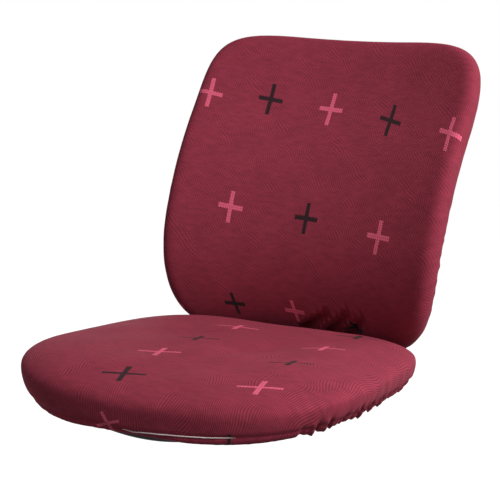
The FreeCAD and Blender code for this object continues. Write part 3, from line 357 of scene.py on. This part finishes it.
def ring_tube(name, path, radius, sides=8):
    """Closed tube round a closed path: a circle carried square to the path's own direction."""
    ahead = np.roll(path, -1, 0) - np.roll(path, 1, 0)
    ahead /= np.linalg.norm(ahead, axis=1, keepdims=True)
    across = np.cross(ahead, [0.0, 0.0, 1.0])
    across /= np.maximum(np.linalg.norm(across, axis=1, keepdims=True), 1e-9)
    over = np.cross(across, ahead)
    turn = np.linspace(0, 2 * np.pi, sides, endpoint=False)
    circle = across[:, None] * np.cos(turn)[None, :, None] + over[:, None] * np.sin(turn)[None, :, None]
    points = path[:, None] + radius * circle
    index = np.arange(len(path) * sides).reshape(len(path), sides)
    after = np.roll(index, -1, 0)
    quads = np.stack([index, after, np.roll(after, -1, 1), np.roll(index, -1, 1)], -1).reshape(-1, 4)
    mesh = bpy.data.meshes.new(name)
    mesh.from_pydata((points.reshape(-1, 3) * MM).tolist(), [], quads.tolist())
    return placed(name, mesh)


def linear(code):
    """Linear colour of an sRGB hex code."""
    parts = np.array([int(code[k:k + 2], 16) for k in (1, 3, 5)]) / 255
    values = np.where(parts <= 0.04045, parts / 12.92, ((parts + 0.055) / 1.055) ** 2.4)
    return (*values.tolist(), 1.0)


def node(tree, kind, inputs=None, output=0, **settings):
    """Adds a node with its settings and inputs, linked or set, and returns one of its outputs."""
    made = tree.nodes.new(kind)
    for name, value in settings.items():
        setattr(made, name, value)
    for socket, value in (inputs or {}).items():
        if isinstance(value, bpy.types.NodeSocket):
            tree.links.new(value, made.inputs[socket])
        else:
            made.inputs[socket].default_value = value
    return made.outputs[output] if made.outputs else None


def new_material(name):
    """Empty node material and its tree."""
    material = bpy.data.materials.new(name)
    material.use_nodes = True
    material.node_tree.nodes.clear()
    return material, material.node_tree


# Where the crosses lie on each cover's cloth, in millimetres from the crown's middle. With i the column's
# number and j the row's, a cross is at
#     start + lean j + bend j^2 + i (column + skew j + widen j^2 + arch i (1 + j)) across, and at
#     row_start + tilt i + sag i^2 + j (row + fan i) + growth j^2 along.
# Nearest is the mean width of a column. Bars are half length and half width; lean and tilt draw them out of
# square, turn and row_turn add to the tilt right of the middle, and row_long lengthens those of the higher
# rows. Slack shrinks and leans those of the row by the hem, where the cloth isn't stretched. Shown is the
# middle and half of the cloth that has crosses; the rest is turned under the edge.
BACK_CROSSES = {
    "start": 0.0, "lean": 0.0, "bend": -8.4, "column": 123.4, "skew": 0.0, "widen": -21.8, "arch": 1.3,
    "nearest": 108.0,
    "row_start": -61.1, "tilt": -10.8, "sag": -5.6, "row": 156.0, "fan": 0.0, "growth": 18.5,
    "bar_across": (19.0, 3.4), "bar_along": (23.0, 3.0), "bar_lean": 0.0, "bar_tilt": 0.06, "turn": 0.05,
    "row_turn": 0.22, "row_long": 0.16, "slack": 0.14, "slack_row": -0.5, "slack_lean": 0.3,
    "shown": (-20.0, 240.0),
}
SEAT_CROSSES = {
    "start": -227.5, "lean": 7.0, "bend": 1.7, "column": 179.7, "skew": -7.6, "widen": 0.0, "arch": 0.0,
    "nearest": 179.7,
    "row_start": -106.3, "tilt": 27.2, "sag": 0.0, "row": 84.1, "fan": 9.2, "growth": 3.2,
    "bar_across": (30.0, 2.2), "bar_along": (20.0, 3.6), "bar_lean": 0.17, "bar_tilt": -0.25, "turn": 0.0,
    "row_turn": 0.0, "row_long": 0.0, "slack": 0.22, "slack_row": -1.5, "slack_lean": 0.45,
    "shown": (100.0, 250.0),
}

# Sizes of the knit in millimetres: twist and ribs of the crosses' yarn, the ground's ridges, stitches and
# drawn loops, and the clouds of its dye. Real stitches are finer, and are drawn as coarse as they have to be
# to show
TWIST = 3.4
RIB = 3.6
RIDGE_PITCH = 3.1
STITCH = 1.1
DRAWN_LOOP = 6.0
DYE_CLOUD = 50.0

# Contrasts of the knit, as shares of its tone: a bar's twisted edge, twist and ribs, and the ground's layers
TWIST_EDGE = 0.16
TWIST_SHADE = 0.12
RIB_SHADE = 0.12
YARN_TONE = 0.9
GROUND_TONE = 0.95
STITCH_CONTRAST = 1.0
DRAWN_CONTRAST = 0.55
DYE_CONTRAST = 0.4

# Relief of the knit in millimetres: ridges at full contrast, stitches, and the crosses above the ground
RIDGE_RELIEF = 0.4
STITCH_RELIEF = 0.22
CROSS_RELIEF = 0.25

# Metres that one band of a wave texture takes at scale 1, by its direction
BAND = {"X": 0.314, "DIAGONAL": 0.444}


def stretch_knit(name, crosses, direction, bend, contrast):
    """Polyester and elastane jacquard knit, piece dyed burgundy.

    A matt, slightly hairy cloth: fine wavy ridges about three millimetres apart over a knit too fine to see,
    with small crosses knitted in pink and near-black yarn.
    """
    material, tree = new_material(name)
    cloth = node(tree, "ShaderNodeUVMap", uv_map="cloth")
    place = node(tree, "ShaderNodeVectorMath", {0: cloth, "Scale": 1 / MM}, operation="SCALE")
    split = node(tree, "ShaderNodeSeparateXYZ", {0: place}).node
    known = {"u": split.outputs[0], "v": split.outputs[1]}

    # wavy ridges of the ground, the stitches between them, slanting drawn loops, and how evenly the dye took
    known["ridges"] = node(tree, "ShaderNodeTexWave", {
        "Vector": cloth, "Scale": BAND[direction] / (RIDGE_PITCH * MM), "Distortion": bend, "Detail": 0.0,
        "Detail Scale": 0.19}, output="Fac", bands_direction=direction)
    slant = node(tree, "ShaderNodeMapping", {
        "Vector": cloth, "Rotation": (0.0, 0.0, 0.7), "Scale": (0.35, 1.0, 1.0)})
    for layer, vector, size, detail in (("stitches", cloth, STITCH, 2.0), ("drawn", slant, DRAWN_LOOP, 2.0),
                                        ("dye", cloth, DYE_CLOUD, 4.0)):
        known[layer] = node(tree, "ShaderNodeTexNoise", {
            "Vector": vector, "Scale": 1 / (size * MM), "Detail": detail})

    # nearest cross: column and row numbers, then the place measured from its middle
    sums = [
        ("columns", "MULTIPLY_ADD", "u", 1 / crosses["nearest"], -crosses["start"] / crosses["nearest"]),
        ("column", "ROUND", "columns"),
        ("slope", "MULTIPLY_ADD", "column", crosses["sag"], crosses["tilt"]),
        ("foot", "MULTIPLY_ADD", "slope", "column", crosses["row_start"]),
        ("height", "SUBTRACT", "v", "foot"),
        ("step", "MULTIPLY_ADD", "column", crosses["fan"], crosses["row"]),
        ("rows", "DIVIDE", "height", "step"),
        ("square", "MULTIPLY", "rows", "rows"),
        ("even_rows", "MULTIPLY_ADD", "square", -crosses["growth"] / crosses["row"], "rows"),
        ("row", "ROUND", "even_rows"),
        ("row_step", "MULTIPLY_ADD", "row", crosses["growth"], "step"),
        ("climb", "MULTIPLY", "row_step", "row"),
        ("above", "SUBTRACT", "height", "climb"),
        ("spread", "MULTIPLY_ADD", "row", crosses["widen"], crosses["skew"]),
        ("width", "MULTIPLY_ADD", "spread", "row", crosses["column"]),
        ("sway", "MULTIPLY_ADD", "row", crosses["bend"], crosses["lean"]),
        ("drift", "MULTIPLY_ADD", "sway", "row", crosses["start"]),
        ("arch", "MULTIPLY_ADD", "row", crosses["arch"], crosses["arch"]),
        ("pitch", "MULTIPLY_ADD", "arch", "column", "width"),
        ("middle", "MULTIPLY_ADD", "column", "pitch", "drift"),
        ("beside", "SUBTRACT", "u", "middle"),
        ("by_hem", "LESS_THAN", "row", crosses["slack_row"]),
        ("short", "MULTIPLY_ADD", "by_hem", -crosses["slack"], 1.0),
        ("bar_lean", "MULTIPLY_ADD", "by_hem", crosses["slack_lean"], crosses["bar_lean"]),
        ("across", "MULTIPLY_ADD", "above", "bar_lean", "beside"),
        ("to_right", "GREATER_THAN", "column", 0.5),
        ("turn", "MULTIPLY_ADD", "row", crosses["row_turn"], crosses["turn"]),
        ("bar_tilt", "MULTIPLY_ADD", "to_right", "turn", crosses["bar_tilt"]),
        ("along", "MULTIPLY_ADD", "beside", "bar_tilt", "above"),
        ("long", "MULTIPLY_ADD", "row", crosses["row_long"], "short"),
        ("number", "ADD", "column", "row"),
        ("pink", "FLOORED_MODULO", "number", 2.0),
        ("shown", "COMPARE", "middle", *crosses["shown"]),
    ]
    # the two bars of a cross, with twisted edges and ribs along them
    for bar, length, side, size in (("bar_across", "across", "along", "short"),
                                    ("bar_along", "along", "across", "long")):
        reach, half = crosses[bar]
        sums += [
            (bar + "_turn", "MULTIPLY", length, 2 * math.pi / TWIST),
            (bar + "_twist", "SINE", bar + "_turn"),
            (bar + "_edge", "MULTIPLY_ADD", bar + "_twist", TWIST_EDGE * half, half),
            (bar + "_rim", "MULTIPLY", bar + "_edge", "short"),
            (bar + "_away", "ABSOLUTE", side),
            (bar + "_inside", "LESS_THAN", bar + "_away", bar + "_rim"),
            (bar + "_reach", "MULTIPLY", size, reach),
            (bar + "_within", "COMPARE", length, 0.0, bar + "_reach"),
            (bar, "MULTIPLY", bar + "_inside", bar + "_within"),
            (bar + "_ribs", "MULTIPLY", side, 2 * math.pi / RIB),
            (bar + "_rib", "COSINE", bar + "_ribs"),
            (bar + "_dip", "MULTIPLY_ADD", bar + "_rib", -RIB_SHADE, YARN_TONE),
            (bar + "_shade", "MULTIPLY_ADD", bar + "_twist", TWIST_SHADE, bar + "_dip"),
        ]
    # tones of the ground, and relief in millimetres
    sums += [
        ("either", "MAXIMUM", "bar_across", "bar_along"),
        ("cross", "MULTIPLY", "either", "shown"),
        ("ridge_tone", "MULTIPLY_ADD", "ridges", contrast, GROUND_TONE - contrast / 2),
        ("stitch_tone", "MULTIPLY_ADD", "stitches", STITCH_CONTRAST, 1 - STITCH_CONTRAST / 2),
        ("drawn_tone", "MULTIPLY_ADD", "drawn", DRAWN_CONTRAST, 1 - DRAWN_CONTRAST / 2),
        ("dye_tone", "MULTIPLY_ADD", "dye", DYE_CONTRAST, 1 - DYE_CONTRAST / 2),
        ("fine_tone", "MULTIPLY", "ridge_tone", "stitch_tone"),
        ("broad_tone", "MULTIPLY", "drawn_tone", "dye_tone"),
        ("tone", "MULTIPLY", "fine_tone", "broad_tone"),
        ("ridge_height", "MULTIPLY", "ridges", RIDGE_RELIEF * contrast),
        ("ground_height", "MULTIPLY_ADD", "stitches", STITCH_RELIEF, "ridge_height"),
        ("relief", "MULTIPLY_ADD", "cross", CROSS_RELIEF, "ground_height"),
    ]
    for result, operation, *values in sums:
        inputs = {k: known.get(value, value) for k, value in enumerate(values)}
        known[result] = node(tree, "ShaderNodeMath", inputs, operation=operation)

    shade = node(tree, "ShaderNodeMix", {0: known["bar_across"], 2: known["bar_along_shade"],
                                         3: known["bar_across_shade"]})
    ground = node(tree, "ShaderNodeVectorMath", {0: linear("#8C2F41")[:3], "Scale": known["tone"]},
                  operation="SCALE")
    yarn = node(tree, "ShaderNodeMix", {0: known["pink"], 6: linear("#2A171B"), 7: linear("#DE5F7B")},
                output=2, data_type="RGBA")
    yarn = node(tree, "ShaderNodeVectorMath", {0: yarn, "Scale": shade}, operation="SCALE")
    colour = node(tree, "ShaderNodeMix", {0: known["cross"], 6: ground, 7: yarn}, output=2, data_type="RGBA")
    bump = node(tree, "ShaderNodeBump", {"Height": known["relief"], "Strength": 0.8, "Distance": MM})
    shader = node(tree, "ShaderNodeBsdfPrincipled", {
        "Base Color": colour, "Roughness": 0.9, "Specular IOR Level": 0.2, "Sheen Weight": 0.06,
        "Sheen Roughness": 0.5, "Sheen Tint": linear("#C77A89"), "Normal": bump})
    node(tree, "ShaderNodeOutputMaterial", {"Surface": shader})
    return material


def woven_elastic():
    """Elastic cord covered in white polyester: spiral yarns under a millimetre apart, dull and pale."""
    material, tree = new_material("white_woven_elastic")
    place = node(tree, "ShaderNodeTexCoord", output="Object")
    spiral = node(tree, "ShaderNodeTexWave", {
        "Vector": place, "Scale": BAND["DIAGONAL"] / (0.8484 * MM), "Distortion": 1.5}, output="Fac",
        bands_direction="DIAGONAL")
    colour = node(tree, "ShaderNodeMix", {0: spiral, 6: linear("#DCC2C4"), 7: linear("#FBF0EF")}, output=2,
                  data_type="RGBA")
    bump = node(tree, "ShaderNodeBump", {"Height": spiral, "Strength": 0.4, "Distance": 0.2 * MM})
    shader = node(tree, "ShaderNodeBsdfPrincipled", {"Base Color": colour, "Roughness": 0.8, "Normal": bump})
    node(tree, "ShaderNodeOutputMaterial", {"Surface": shader})
    return material


def moulded_plastic(name, dark, light, grain, roughness):
    """Injection moulded polypropylene or nylon: a spark-eroded grain, softly glossy where it is touched."""
    material, tree = new_material(name)
    place = node(tree, "ShaderNodeTexCoord", output="Object")
    pits = node(tree, "ShaderNodeTexNoise", {"Vector": place, "Scale": 1 / (grain * MM), "Detail": 3.0})
    wear = node(tree, "ShaderNodeTexNoise", {"Vector": place, "Scale": 1 / (60.0 * MM), "Detail": 2.0})
    colour = node(tree, "ShaderNodeMix", {0: wear, 6: linear(dark), 7: linear(light)}, output=2,
                  data_type="RGBA")
    gloss = node(tree, "ShaderNodeMath", {0: wear, 1: 0.2, 2: roughness - 0.1}, operation="MULTIPLY_ADD")
    bump = node(tree, "ShaderNodeBump", {"Height": pits, "Strength": 0.35, "Distance": 0.3 * MM})
    shader = node(tree, "ShaderNodeBsdfPrincipled", {
        "Base Color": colour, "Roughness": gloss, "Specular IOR Level": 0.15, "Normal": bump})
    node(tree, "ShaderNodeOutputMaterial", {"Surface": shader})
    return material


def powder_coat():
    """Steel under black powder coat: satin, with a fine orange peel a few millimetres across."""
    material, tree = new_material("black_powder_coated_steel")
    place = node(tree, "ShaderNodeTexCoord", output="Object")
    peel = node(tree, "ShaderNodeTexNoise", {"Vector": place, "Scale": 1 / (2.4 * MM), "Detail": 1.0})
    dust = node(tree, "ShaderNodeTexNoise", {"Vector": place, "Scale": 1 / (50.0 * MM), "Detail": 4.0})
    colour = node(tree, "ShaderNodeMix", {0: dust, 6: linear("#141416"), 7: linear("#26262A")}, output=2,
                  data_type="RGBA")
    gloss = node(tree, "ShaderNodeMath", {0: dust, 1: 0.22, 2: 0.3}, operation="MULTIPLY_ADD")
    bump = node(tree, "ShaderNodeBump", {"Height": peel, "Strength": 0.25, "Distance": 0.4 * MM})
    shader = node(tree, "ShaderNodeBsdfPrincipled", {
        "Base Color": colour, "Roughness": gloss, "IOR": 1.5, "Normal": bump})
    node(tree, "ShaderNodeOutputMaterial", {"Surface": shader})
    return material


def zinc_plate():
    """Turned or drawn steel under bright zinc: a grain half a millimetre wide, and a cloudy film over it."""
    material, tree = new_material("zinc_plated_steel")
    place = node(tree, "ShaderNodeTexCoord", output="Object")
    grain = node(tree, "ShaderNodeTexNoise", {"Vector": place, "Scale": 1 / (0.5 * MM), "Detail": 2.0})
    cloud = node(tree, "ShaderNodeTexNoise", {"Vector": place, "Scale": 1 / (12.0 * MM), "Detail": 3.0})
    colour = node(tree, "ShaderNodeMix", {0: cloud, 6: linear("#A9ABAE"), 7: linear("#D0D2D2")}, output=2,
                  data_type="RGBA")
    gloss = node(tree, "ShaderNodeMath", {0: cloud, 1: 0.25, 2: 0.2}, operation="MULTIPLY_ADD")
    bump = node(tree, "ShaderNodeBump", {"Height": grain, "Strength": 0.2, "Distance": 0.1 * MM})
    shader = node(tree, "ShaderNodeBsdfPrincipled", {
        "Base Color": colour, "Metallic": 1.0, "Roughness": gloss, "Normal": bump})
    node(tree, "ShaderNodeOutputMaterial", {"Surface": shader})
    return material


def beech_plywood():
    """Moulded beech plywood: fine grain a millimetre and a half wide, drawn out along the chair."""
    material, tree = new_material("moulded_beech_plywood")
    place = node(tree, "ShaderNodeTexCoord", output="Object")
    drawn = node(tree, "ShaderNodeMapping", {"Vector": place, "Scale": (1.0, 0.06, 1.0)})
    grain = node(tree, "ShaderNodeTexNoise", {"Vector": drawn, "Scale": 1 / (1.5 * MM), "Detail": 4.0})
    colour = node(tree, "ShaderNodeMix", {0: grain, 6: linear("#B98B5D"), 7: linear("#DDB98B")}, output=2,
                  data_type="RGBA")
    bump = node(tree, "ShaderNodeBump", {"Height": grain, "Strength": 0.2, "Distance": 0.2 * MM})
    shader = node(tree, "ShaderNodeBsdfPrincipled", {"Base Color": colour, "Roughness": 0.6, "Normal": bump})
    node(tree, "ShaderNodeOutputMaterial", {"Surface": shader})
    return material


def moulded_foam():
    """Moulded polyurethane foam, cream coloured, with open cells under a millimetre across."""
    material, tree = new_material("moulded_polyurethane_foam")
    place = node(tree, "ShaderNodeTexCoord", output="Object")
    cells = node(tree, "ShaderNodeTexVoronoi", {"Vector": place, "Scale": 1 / (0.9 * MM)})
    colour = node(tree, "ShaderNodeMix", {0: cells, 6: linear("#C9B587"), 7: linear("#EADBB4")}, output=2,
                  data_type="RGBA")
    bump = node(tree, "ShaderNodeBump", {"Height": cells, "Strength": 0.5, "Distance": 0.4 * MM})
    shader = node(tree, "ShaderNodeBsdfPrincipled", {"Base Color": colour, "Roughness": 0.95, "Normal": bump})
    node(tree, "ShaderNodeOutputMaterial", {"Surface": shader})
    return material


def dress(piece, material, body):
    """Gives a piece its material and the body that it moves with."""
    piece.data.materials.append(material)
    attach(piece, body)


def cushion(name, outline, point, hollow=0.0, dent=None):
    """Closed foam pad a little inside the cover: the same lines, carried on to a second pole below.

    Its far side is hollowed for the board that carries it, and a function of cloth places may press it in.
    """
    points, run = pad_lines(outline, point, reach=0.0)
    middle = points.mean((0, 1))
    wanted = run[:, -1:] * np.linspace(0, 1, CUSHION_RINGS + 2)[1:-1]
    grid = along_lines(points, run, wanted)
    past_edge = wanted - run[:, LINE_SAMPLES - 1:LINE_SAMPLES]
    inset = CUSHION_GAP + hollow * smooth_step(past_edge, *HOLLOW_RIM)
    if dent:
        heading = outline / np.linalg.norm(outline, axis=1, keepdims=True)
        inset += dent(heading[:, None] * wanted[..., None])
    grid = grid - grid_normals(grid) * inset[..., None]
    poles = points[0, [0, -1]]
    inward = (middle - poles) / np.linalg.norm(middle - poles, axis=1, keepdims=True)
    depths = np.array([[CUSHION_GAP], [CUSHION_GAP + hollow]])
    return placed(name, pole_mesh(name, poles + inward * depths, grid))


# Soft hollows of the sat-on seat: heading in degrees, wave length, phase and height of each long wave; then a
# slack crease from the front towards the right rear, with its depth and width; and then where on the
# way to the edge all of them end and start to fade
SWELLS = ((20.0, 150.0, 0.4, 0.9), (75.0, 120.0, 2.1, 0.8), (130.0, 95.0, 4.0, 0.6), (165.0, 190.0, 5.2, 0.9))
CREASE = ((-8.0, -112.0), (88.0, 84.0))
CREASE_DEPTH = 2.6
CREASE_WIDTH = 20.0
SWELL_EDGE = (235.0, 150.0)


def seat_swell(cloth):
    """Height of the seat's cloth above its plain form: long waves and a bell-shaped crease, none at the edge.

    A wave is a cosine of the distance along its heading.
    """
    height = np.zeros(cloth.shape[:2])
    for heading, wave, phase, swell in SWELLS:
        way = np.array([math.cos(math.radians(heading)), math.sin(math.radians(heading))])
        height += swell * np.cos(2 * np.pi * (cloth @ way) / wave + phase)
    start, end = np.array(CREASE)
    share = np.clip((cloth - start) @ (end - start) / np.sum((end - start) ** 2), 0, 1)
    away = np.linalg.norm(cloth - start - share[..., None] * (end - start), axis=2)
    height -= CREASE_DEPTH * np.sin(np.pi * share) ** 0.5 * np.exp(-(away / CREASE_WIDTH) ** 2)
    return height * smooth_step(np.linalg.norm(cloth, axis=2), *SWELL_EDGE)


def seat_pieces(knit, elastic, foam):
    """Seat slipcover with its gathered hem, the drawn elastic and the cushion inside."""
    outline, length = plan_outline(SEAT_WIDTH, SEAT_DEPTH, SEAT_NARROWING, SEAT_FRONT_POWER, SEAT_REAR_POWER,
                                   AROUND)
    x, y = outline.T
    sideways = (2 * x / SEAT_WIDTH) ** 2
    side = np.where(x > 0, SEAT_GATHER_RIGHT, SEAT_GATHER_LEFT)
    gather = SEAT_GATHER_END + (side - SEAT_GATHER_END) * sideways
    frill = SEAT_FRILL + (SEAT_FRILL_SIDE - SEAT_FRILL) * sideways
    gathered = np.maximum(smooth_step(x, *RIGHT_EDGE), REAR_SHARE * smooth_step(y, *REAR_START))
    strength = SEAT_SMOOTH + (SEAT_GATHERED - SEAT_SMOOTH) * gathered
    grid, normal, cloth = slipcover_grid(outline, length, seat_point, gather, frill, strength, SEAT_SEED)
    grid = grid + normal * seat_swell(cloth)[..., None]
    pole = seat_point(np.zeros(1), np.zeros(1), np.zeros(1, bool))[0]
    pole[2] += CLOTH + seat_swell(np.zeros((1, 1, 2)))[0, 0]
    cover = cover_piece("seat_slipcover", pole, grid, cloth)
    dress(cover, knit, "seat_unit")
    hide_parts("seat_cover")

    shows = smooth_step(y, *ELASTIC_FRONT) * smooth_step(x, *ELASTIC_OUT) * smooth_step(x, *ELASTIC_IN)
    out = (2 * ELASTIC_RADIUS + CLOTH) * shows - ELASTIC_RADIUS - CLOTH
    path = grid[:, GATHER_RING] + normal[:, GATHER_RING] * out[:, None]
    cord = ring_tube("seat_drawn_elastic", path, ELASTIC_RADIUS)
    dress(cord, elastic, "seat_unit")
    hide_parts("seat_hem_elastic")

    pad = cushion("seat_cushion", outline[::CUSHION_STEP], seat_point, SEAT_HOLLOW)
    dress(pad, foam, "seat_unit")
    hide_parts("seat_foam")


# Pleats where the back's cover is tucked in behind the seat: foot and head of each on the cloth
PLEATS = (
    ((0.0, -229.0), (54.0, -192.0)),
    ((42.0, -230.0), (90.0, -187.0)),
    ((76.0, -230.0), (116.0, -190.0)),
)
PLEAT_DEPTH = 15.0
PLEAT_WIDTH = (8.0, 3.6)
PLEAT_ROOM = 2.0


def pleat_depth(cloth, room=1.0):
    """Depth of the tucks at cloth places: bell-shaped valleys that narrow and run out along their lines.

    Room widens them, for what lies inside the cloth.
    """
    depth = np.zeros(cloth.shape[:2])
    for foot, head in np.array(PLEATS):
        line = head - foot
        length = np.linalg.norm(line)
        share = np.clip((cloth - foot) @ line / length ** 2, 0, 1)
        away = np.linalg.norm(cloth - foot - share[..., None] * line, axis=2)
        width = room * (PLEAT_WIDTH[0] + (PLEAT_WIDTH[1] - PLEAT_WIDTH[0]) * share)
        depth = np.maximum(depth, PLEAT_DEPTH * (1 - share) ** 0.5 * np.exp(-(away / width) ** 4))
    return depth


def back_pieces(knit, elastic, foam):
    """Back slipcover with its gathered hem behind, the drawn elastic and the cushion inside."""
    outline, length = plan_outline(BACK_WIDTH, BACK_LENGTH, -BACK_WIDENING, BACK_FOOT_POWER, BACK_TOP_POWER,
                                   AROUND)
    low = smooth_step(outline[:, 1], *BACK_LOW)
    gather = BACK_GATHER_TOP + (BACK_GATHER_FOOT - BACK_GATHER_TOP) * low
    frill = np.full(AROUND, BACK_FRILL)
    strength = BACK_SMOOTH + (BACK_GATHERED - BACK_SMOOTH) * low
    grid, normal, cloth = slipcover_grid(outline, length, back_point, gather, frill, strength, BACK_SEED)
    grid = grid - normal * pleat_depth(cloth)[..., None]
    pole = back_point(np.zeros(1), np.zeros(1), np.zeros(1, bool))[0] - [0, CLOTH, 0]
    cover = cover_piece("back_slipcover", pole, grid, cloth)
    dress(cover, knit, "backrest")
    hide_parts("back_cover")

    path = grid[:, GATHER_RING] - normal[:, GATHER_RING] * (ELASTIC_RADIUS + CLOTH)
    cord = ring_tube("back_drawn_elastic", path, ELASTIC_RADIUS)
    dress(cord, elastic, "backrest")
    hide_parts("back_hem_elastic")

    pad = cushion("back_cushion", outline[::CUSHION_STEP], back_point,
                  dent=lambda cloth: pleat_depth(cloth, PLEAT_ROOM))
    dress(pad, foam, "backrest")
    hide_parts("back_foam")


def finish_hardware():
    """Puts a finish on every CAD node that still shows, by its record slot."""
    finishes = {
        "plywood": beech_plywood(),
        "black_plastic": moulded_plastic("black_moulded_polypropylene", "#0E0E10", "#1A1A1D", 0.7, 0.65),
        "black_steel": powder_coat(),
        "zinc_steel": zinc_plate(),
        "nylon": moulded_plastic("natural_nylon", "#C9C5B8", "#E2DFD4", 0.5, 0.45),
    }
    for part in frame["record"]["subparts"]:
        if part["material_slot"] in finishes:
            for slot in frame["nodes"][part["node"]].material_slots:
                slot.material = finishes[part["material_slot"]]


# Camera: it stands in front of the seat, to the right and a little above it
CAMERA_TARGET = Vector((0.0, 0.045, 0.246))
CAMERA_AZIMUTH = 28.78
CAMERA_ELEVATION = 7.93
CAMERA_ROLL = 1.87
CAMERA_DISTANCE = 2.381
PICTURE = 500
FOCAL_PIXELS = 1760.0
AIM_PIXEL = (246.8, 237.8)
SENSOR = 36.0


def place_camera():
    """Camera at an azimuth and elevation round the target, aimed so that the target falls on its pixel."""
    azimuth, elevation = math.radians(CAMERA_AZIMUTH), math.radians(CAMERA_ELEVATION)
    toward = Vector((math.sin(azimuth) * math.cos(elevation), -math.cos(azimuth) * math.cos(elevation),
                     math.sin(elevation)))
    place = CAMERA_TARGET + toward * CAMERA_DISTANCE
    right = Vector((math.cos(azimuth), math.sin(azimuth), 0.0))
    up = toward.cross(right)
    roll = math.radians(CAMERA_ROLL)
    right, up = right * math.cos(roll) + up * math.sin(roll), up * math.cos(roll) - right * math.sin(roll)
    shift = right * (PICTURE / 2 - AIM_PIXEL[0]) - up * (PICTURE / 2 - AIM_PIXEL[1])
    back = (place - CAMERA_TARGET - shift * (CAMERA_DISTANCE / FOCAL_PIXELS)).normalized()
    right = up.cross(back).normalized()
    up = back.cross(right)
    data = bpy.data.cameras.new("camera")
    data.sensor_width = SENSOR
    data.lens = SENSOR * FOCAL_PIXELS / PICTURE
    camera = bpy.data.objects.new("camera", data)
    turn = Matrix((right, up, back)).transposed().to_4x4()
    camera.matrix_world = Matrix.Translation(place) @ turn
    bpy.context.scene.collection.objects.link(camera)
    bpy.context.scene.camera = camera


# Studio, in metres: the floor's height, size and grey, how white it looks near the object and far from it,
# and over what distance that changes; the world's light; and each lamp's place, size and power in watts
FLOOR_Z = -0.42
FLOOR_SIZE = 12.0
FLOOR_GREY = 0.18
FLOOR_WHITE = (0.92, 1.0)
FLOOR_FADE = (0.8, 2.5)
WORLD_LIGHT = 0.07
WHITE = (1.0, 1.0, 1.0, 1.0)
LAMPS = (
    ("key", (2.05, -0.45, 2.0), 1.3, 95.0),
    ("fill", (-1.4, -2.6, 0.0), 2.0, 9.0),
    ("rim", (1.6, 1.8, 1.2), 1.2, 15.0),
    ("rear", (-0.9, 2.4, 0.9), 1.6, 16.0),
)


def studio():
    """Pale floor and background, white to the camera, and soft lamps with the key from the right.

    The fill is low in front, and the rear lamp lights what is behind the backrest.
    """
    scene = bpy.context.scene
    scene.view_settings.view_transform = "Standard"

    world = bpy.data.worlds.new("studio")
    world.use_nodes = True
    tree = world.node_tree
    tree.nodes.clear()
    rays = node(tree, "ShaderNodeLightPath").node
    seen = node(tree, "ShaderNodeMath", {0: rays.outputs["Is Camera Ray"], 1: rays.outputs["Is Glossy Ray"]},
                operation="MAXIMUM")
    seen = node(tree, "ShaderNodeMath", {0: seen, 1: rays.outputs["Is Transmission Ray"]},
                operation="MAXIMUM")
    strength = node(tree, "ShaderNodeMapRange", {0: seen, 3: WORLD_LIGHT, 4: 1.0})
    sky = node(tree, "ShaderNodeBackground", {"Color": WHITE, "Strength": strength})
    node(tree, "ShaderNodeOutputWorld", {"Surface": sky})
    scene.world = world

    half = FLOOR_SIZE / 2
    mesh = bpy.data.meshes.new("floor")
    corners = [(x, y, FLOOR_Z) for x, y in ((-half, -half), (half, -half), (half, half), (-half, half))]
    mesh.from_pydata(corners, [], [(0, 1, 2, 3)])
    floor = placed("floor", mesh)
    material, tree = new_material("pale_floor")
    rays = node(tree, "ShaderNodeLightPath").node
    seen = node(tree, "ShaderNodeMath", {0: rays.outputs["Is Camera Ray"], 1: rays.outputs["Is Glossy Ray"]},
                operation="MAXIMUM")
    place = node(tree, "ShaderNodeTexCoord", output="Object")
    away = node(tree, "ShaderNodeVectorMath", {0: place}, output="Value", operation="LENGTH")
    white = node(tree, "ShaderNodeMapRange", {
        0: away, 1: FLOOR_FADE[0], 2: FLOOR_FADE[1], 3: FLOOR_WHITE[0], 4: FLOOR_WHITE[1]})
    strength = node(tree, "ShaderNodeMath", {0: seen, 1: white}, operation="MULTIPLY")
    paint = node(tree, "ShaderNodeBsdfDiffuse", {"Color": (FLOOR_GREY, FLOOR_GREY, FLOOR_GREY, 1.0)})
    glow = node(tree, "ShaderNodeEmission", {"Color": WHITE, "Strength": strength})
    lit = node(tree, "ShaderNodeAddShader", {0: paint, 1: glow})
    below = node(tree, "ShaderNodeNewGeometry").node.outputs["Backfacing"]
    clear = node(tree, "ShaderNodeBsdfTransparent")
    seen_from_above = node(tree, "ShaderNodeMixShader", {0: below, 1: lit, 2: clear})
    node(tree, "ShaderNodeOutputMaterial", {"Surface": seen_from_above})
    mesh.materials.append(material)

    for name, place, size, power in LAMPS:
        data = bpy.data.lights.new(name, "AREA")
        data.size = size
        data.energy = power
        lamp = bpy.data.objects.new(name, data)
        aim = CAMERA_TARGET - Vector(place)
        lamp.matrix_world = Matrix.Translation(place) @ aim.to_track_quat("-Z", "Y").to_matrix().to_4x4()
        scene.collection.objects.link(lamp)


elastic_finish = woven_elastic()
foam_finish = moulded_foam()
seat_knit = stretch_knit("burgundy_stretch_knit_seat", SEAT_CROSSES, "X", 34.0, 0.56)
back_knit = stretch_knit("burgundy_stretch_knit_back", BACK_CROSSES, "DIAGONAL", 18.0, 0.3)
seat_pieces(seat_knit, elastic_finish, foam_finish)
back_pieces(back_knit, elastic_finish, foam_finish)
finish_hardware()
place_camera()
studio()
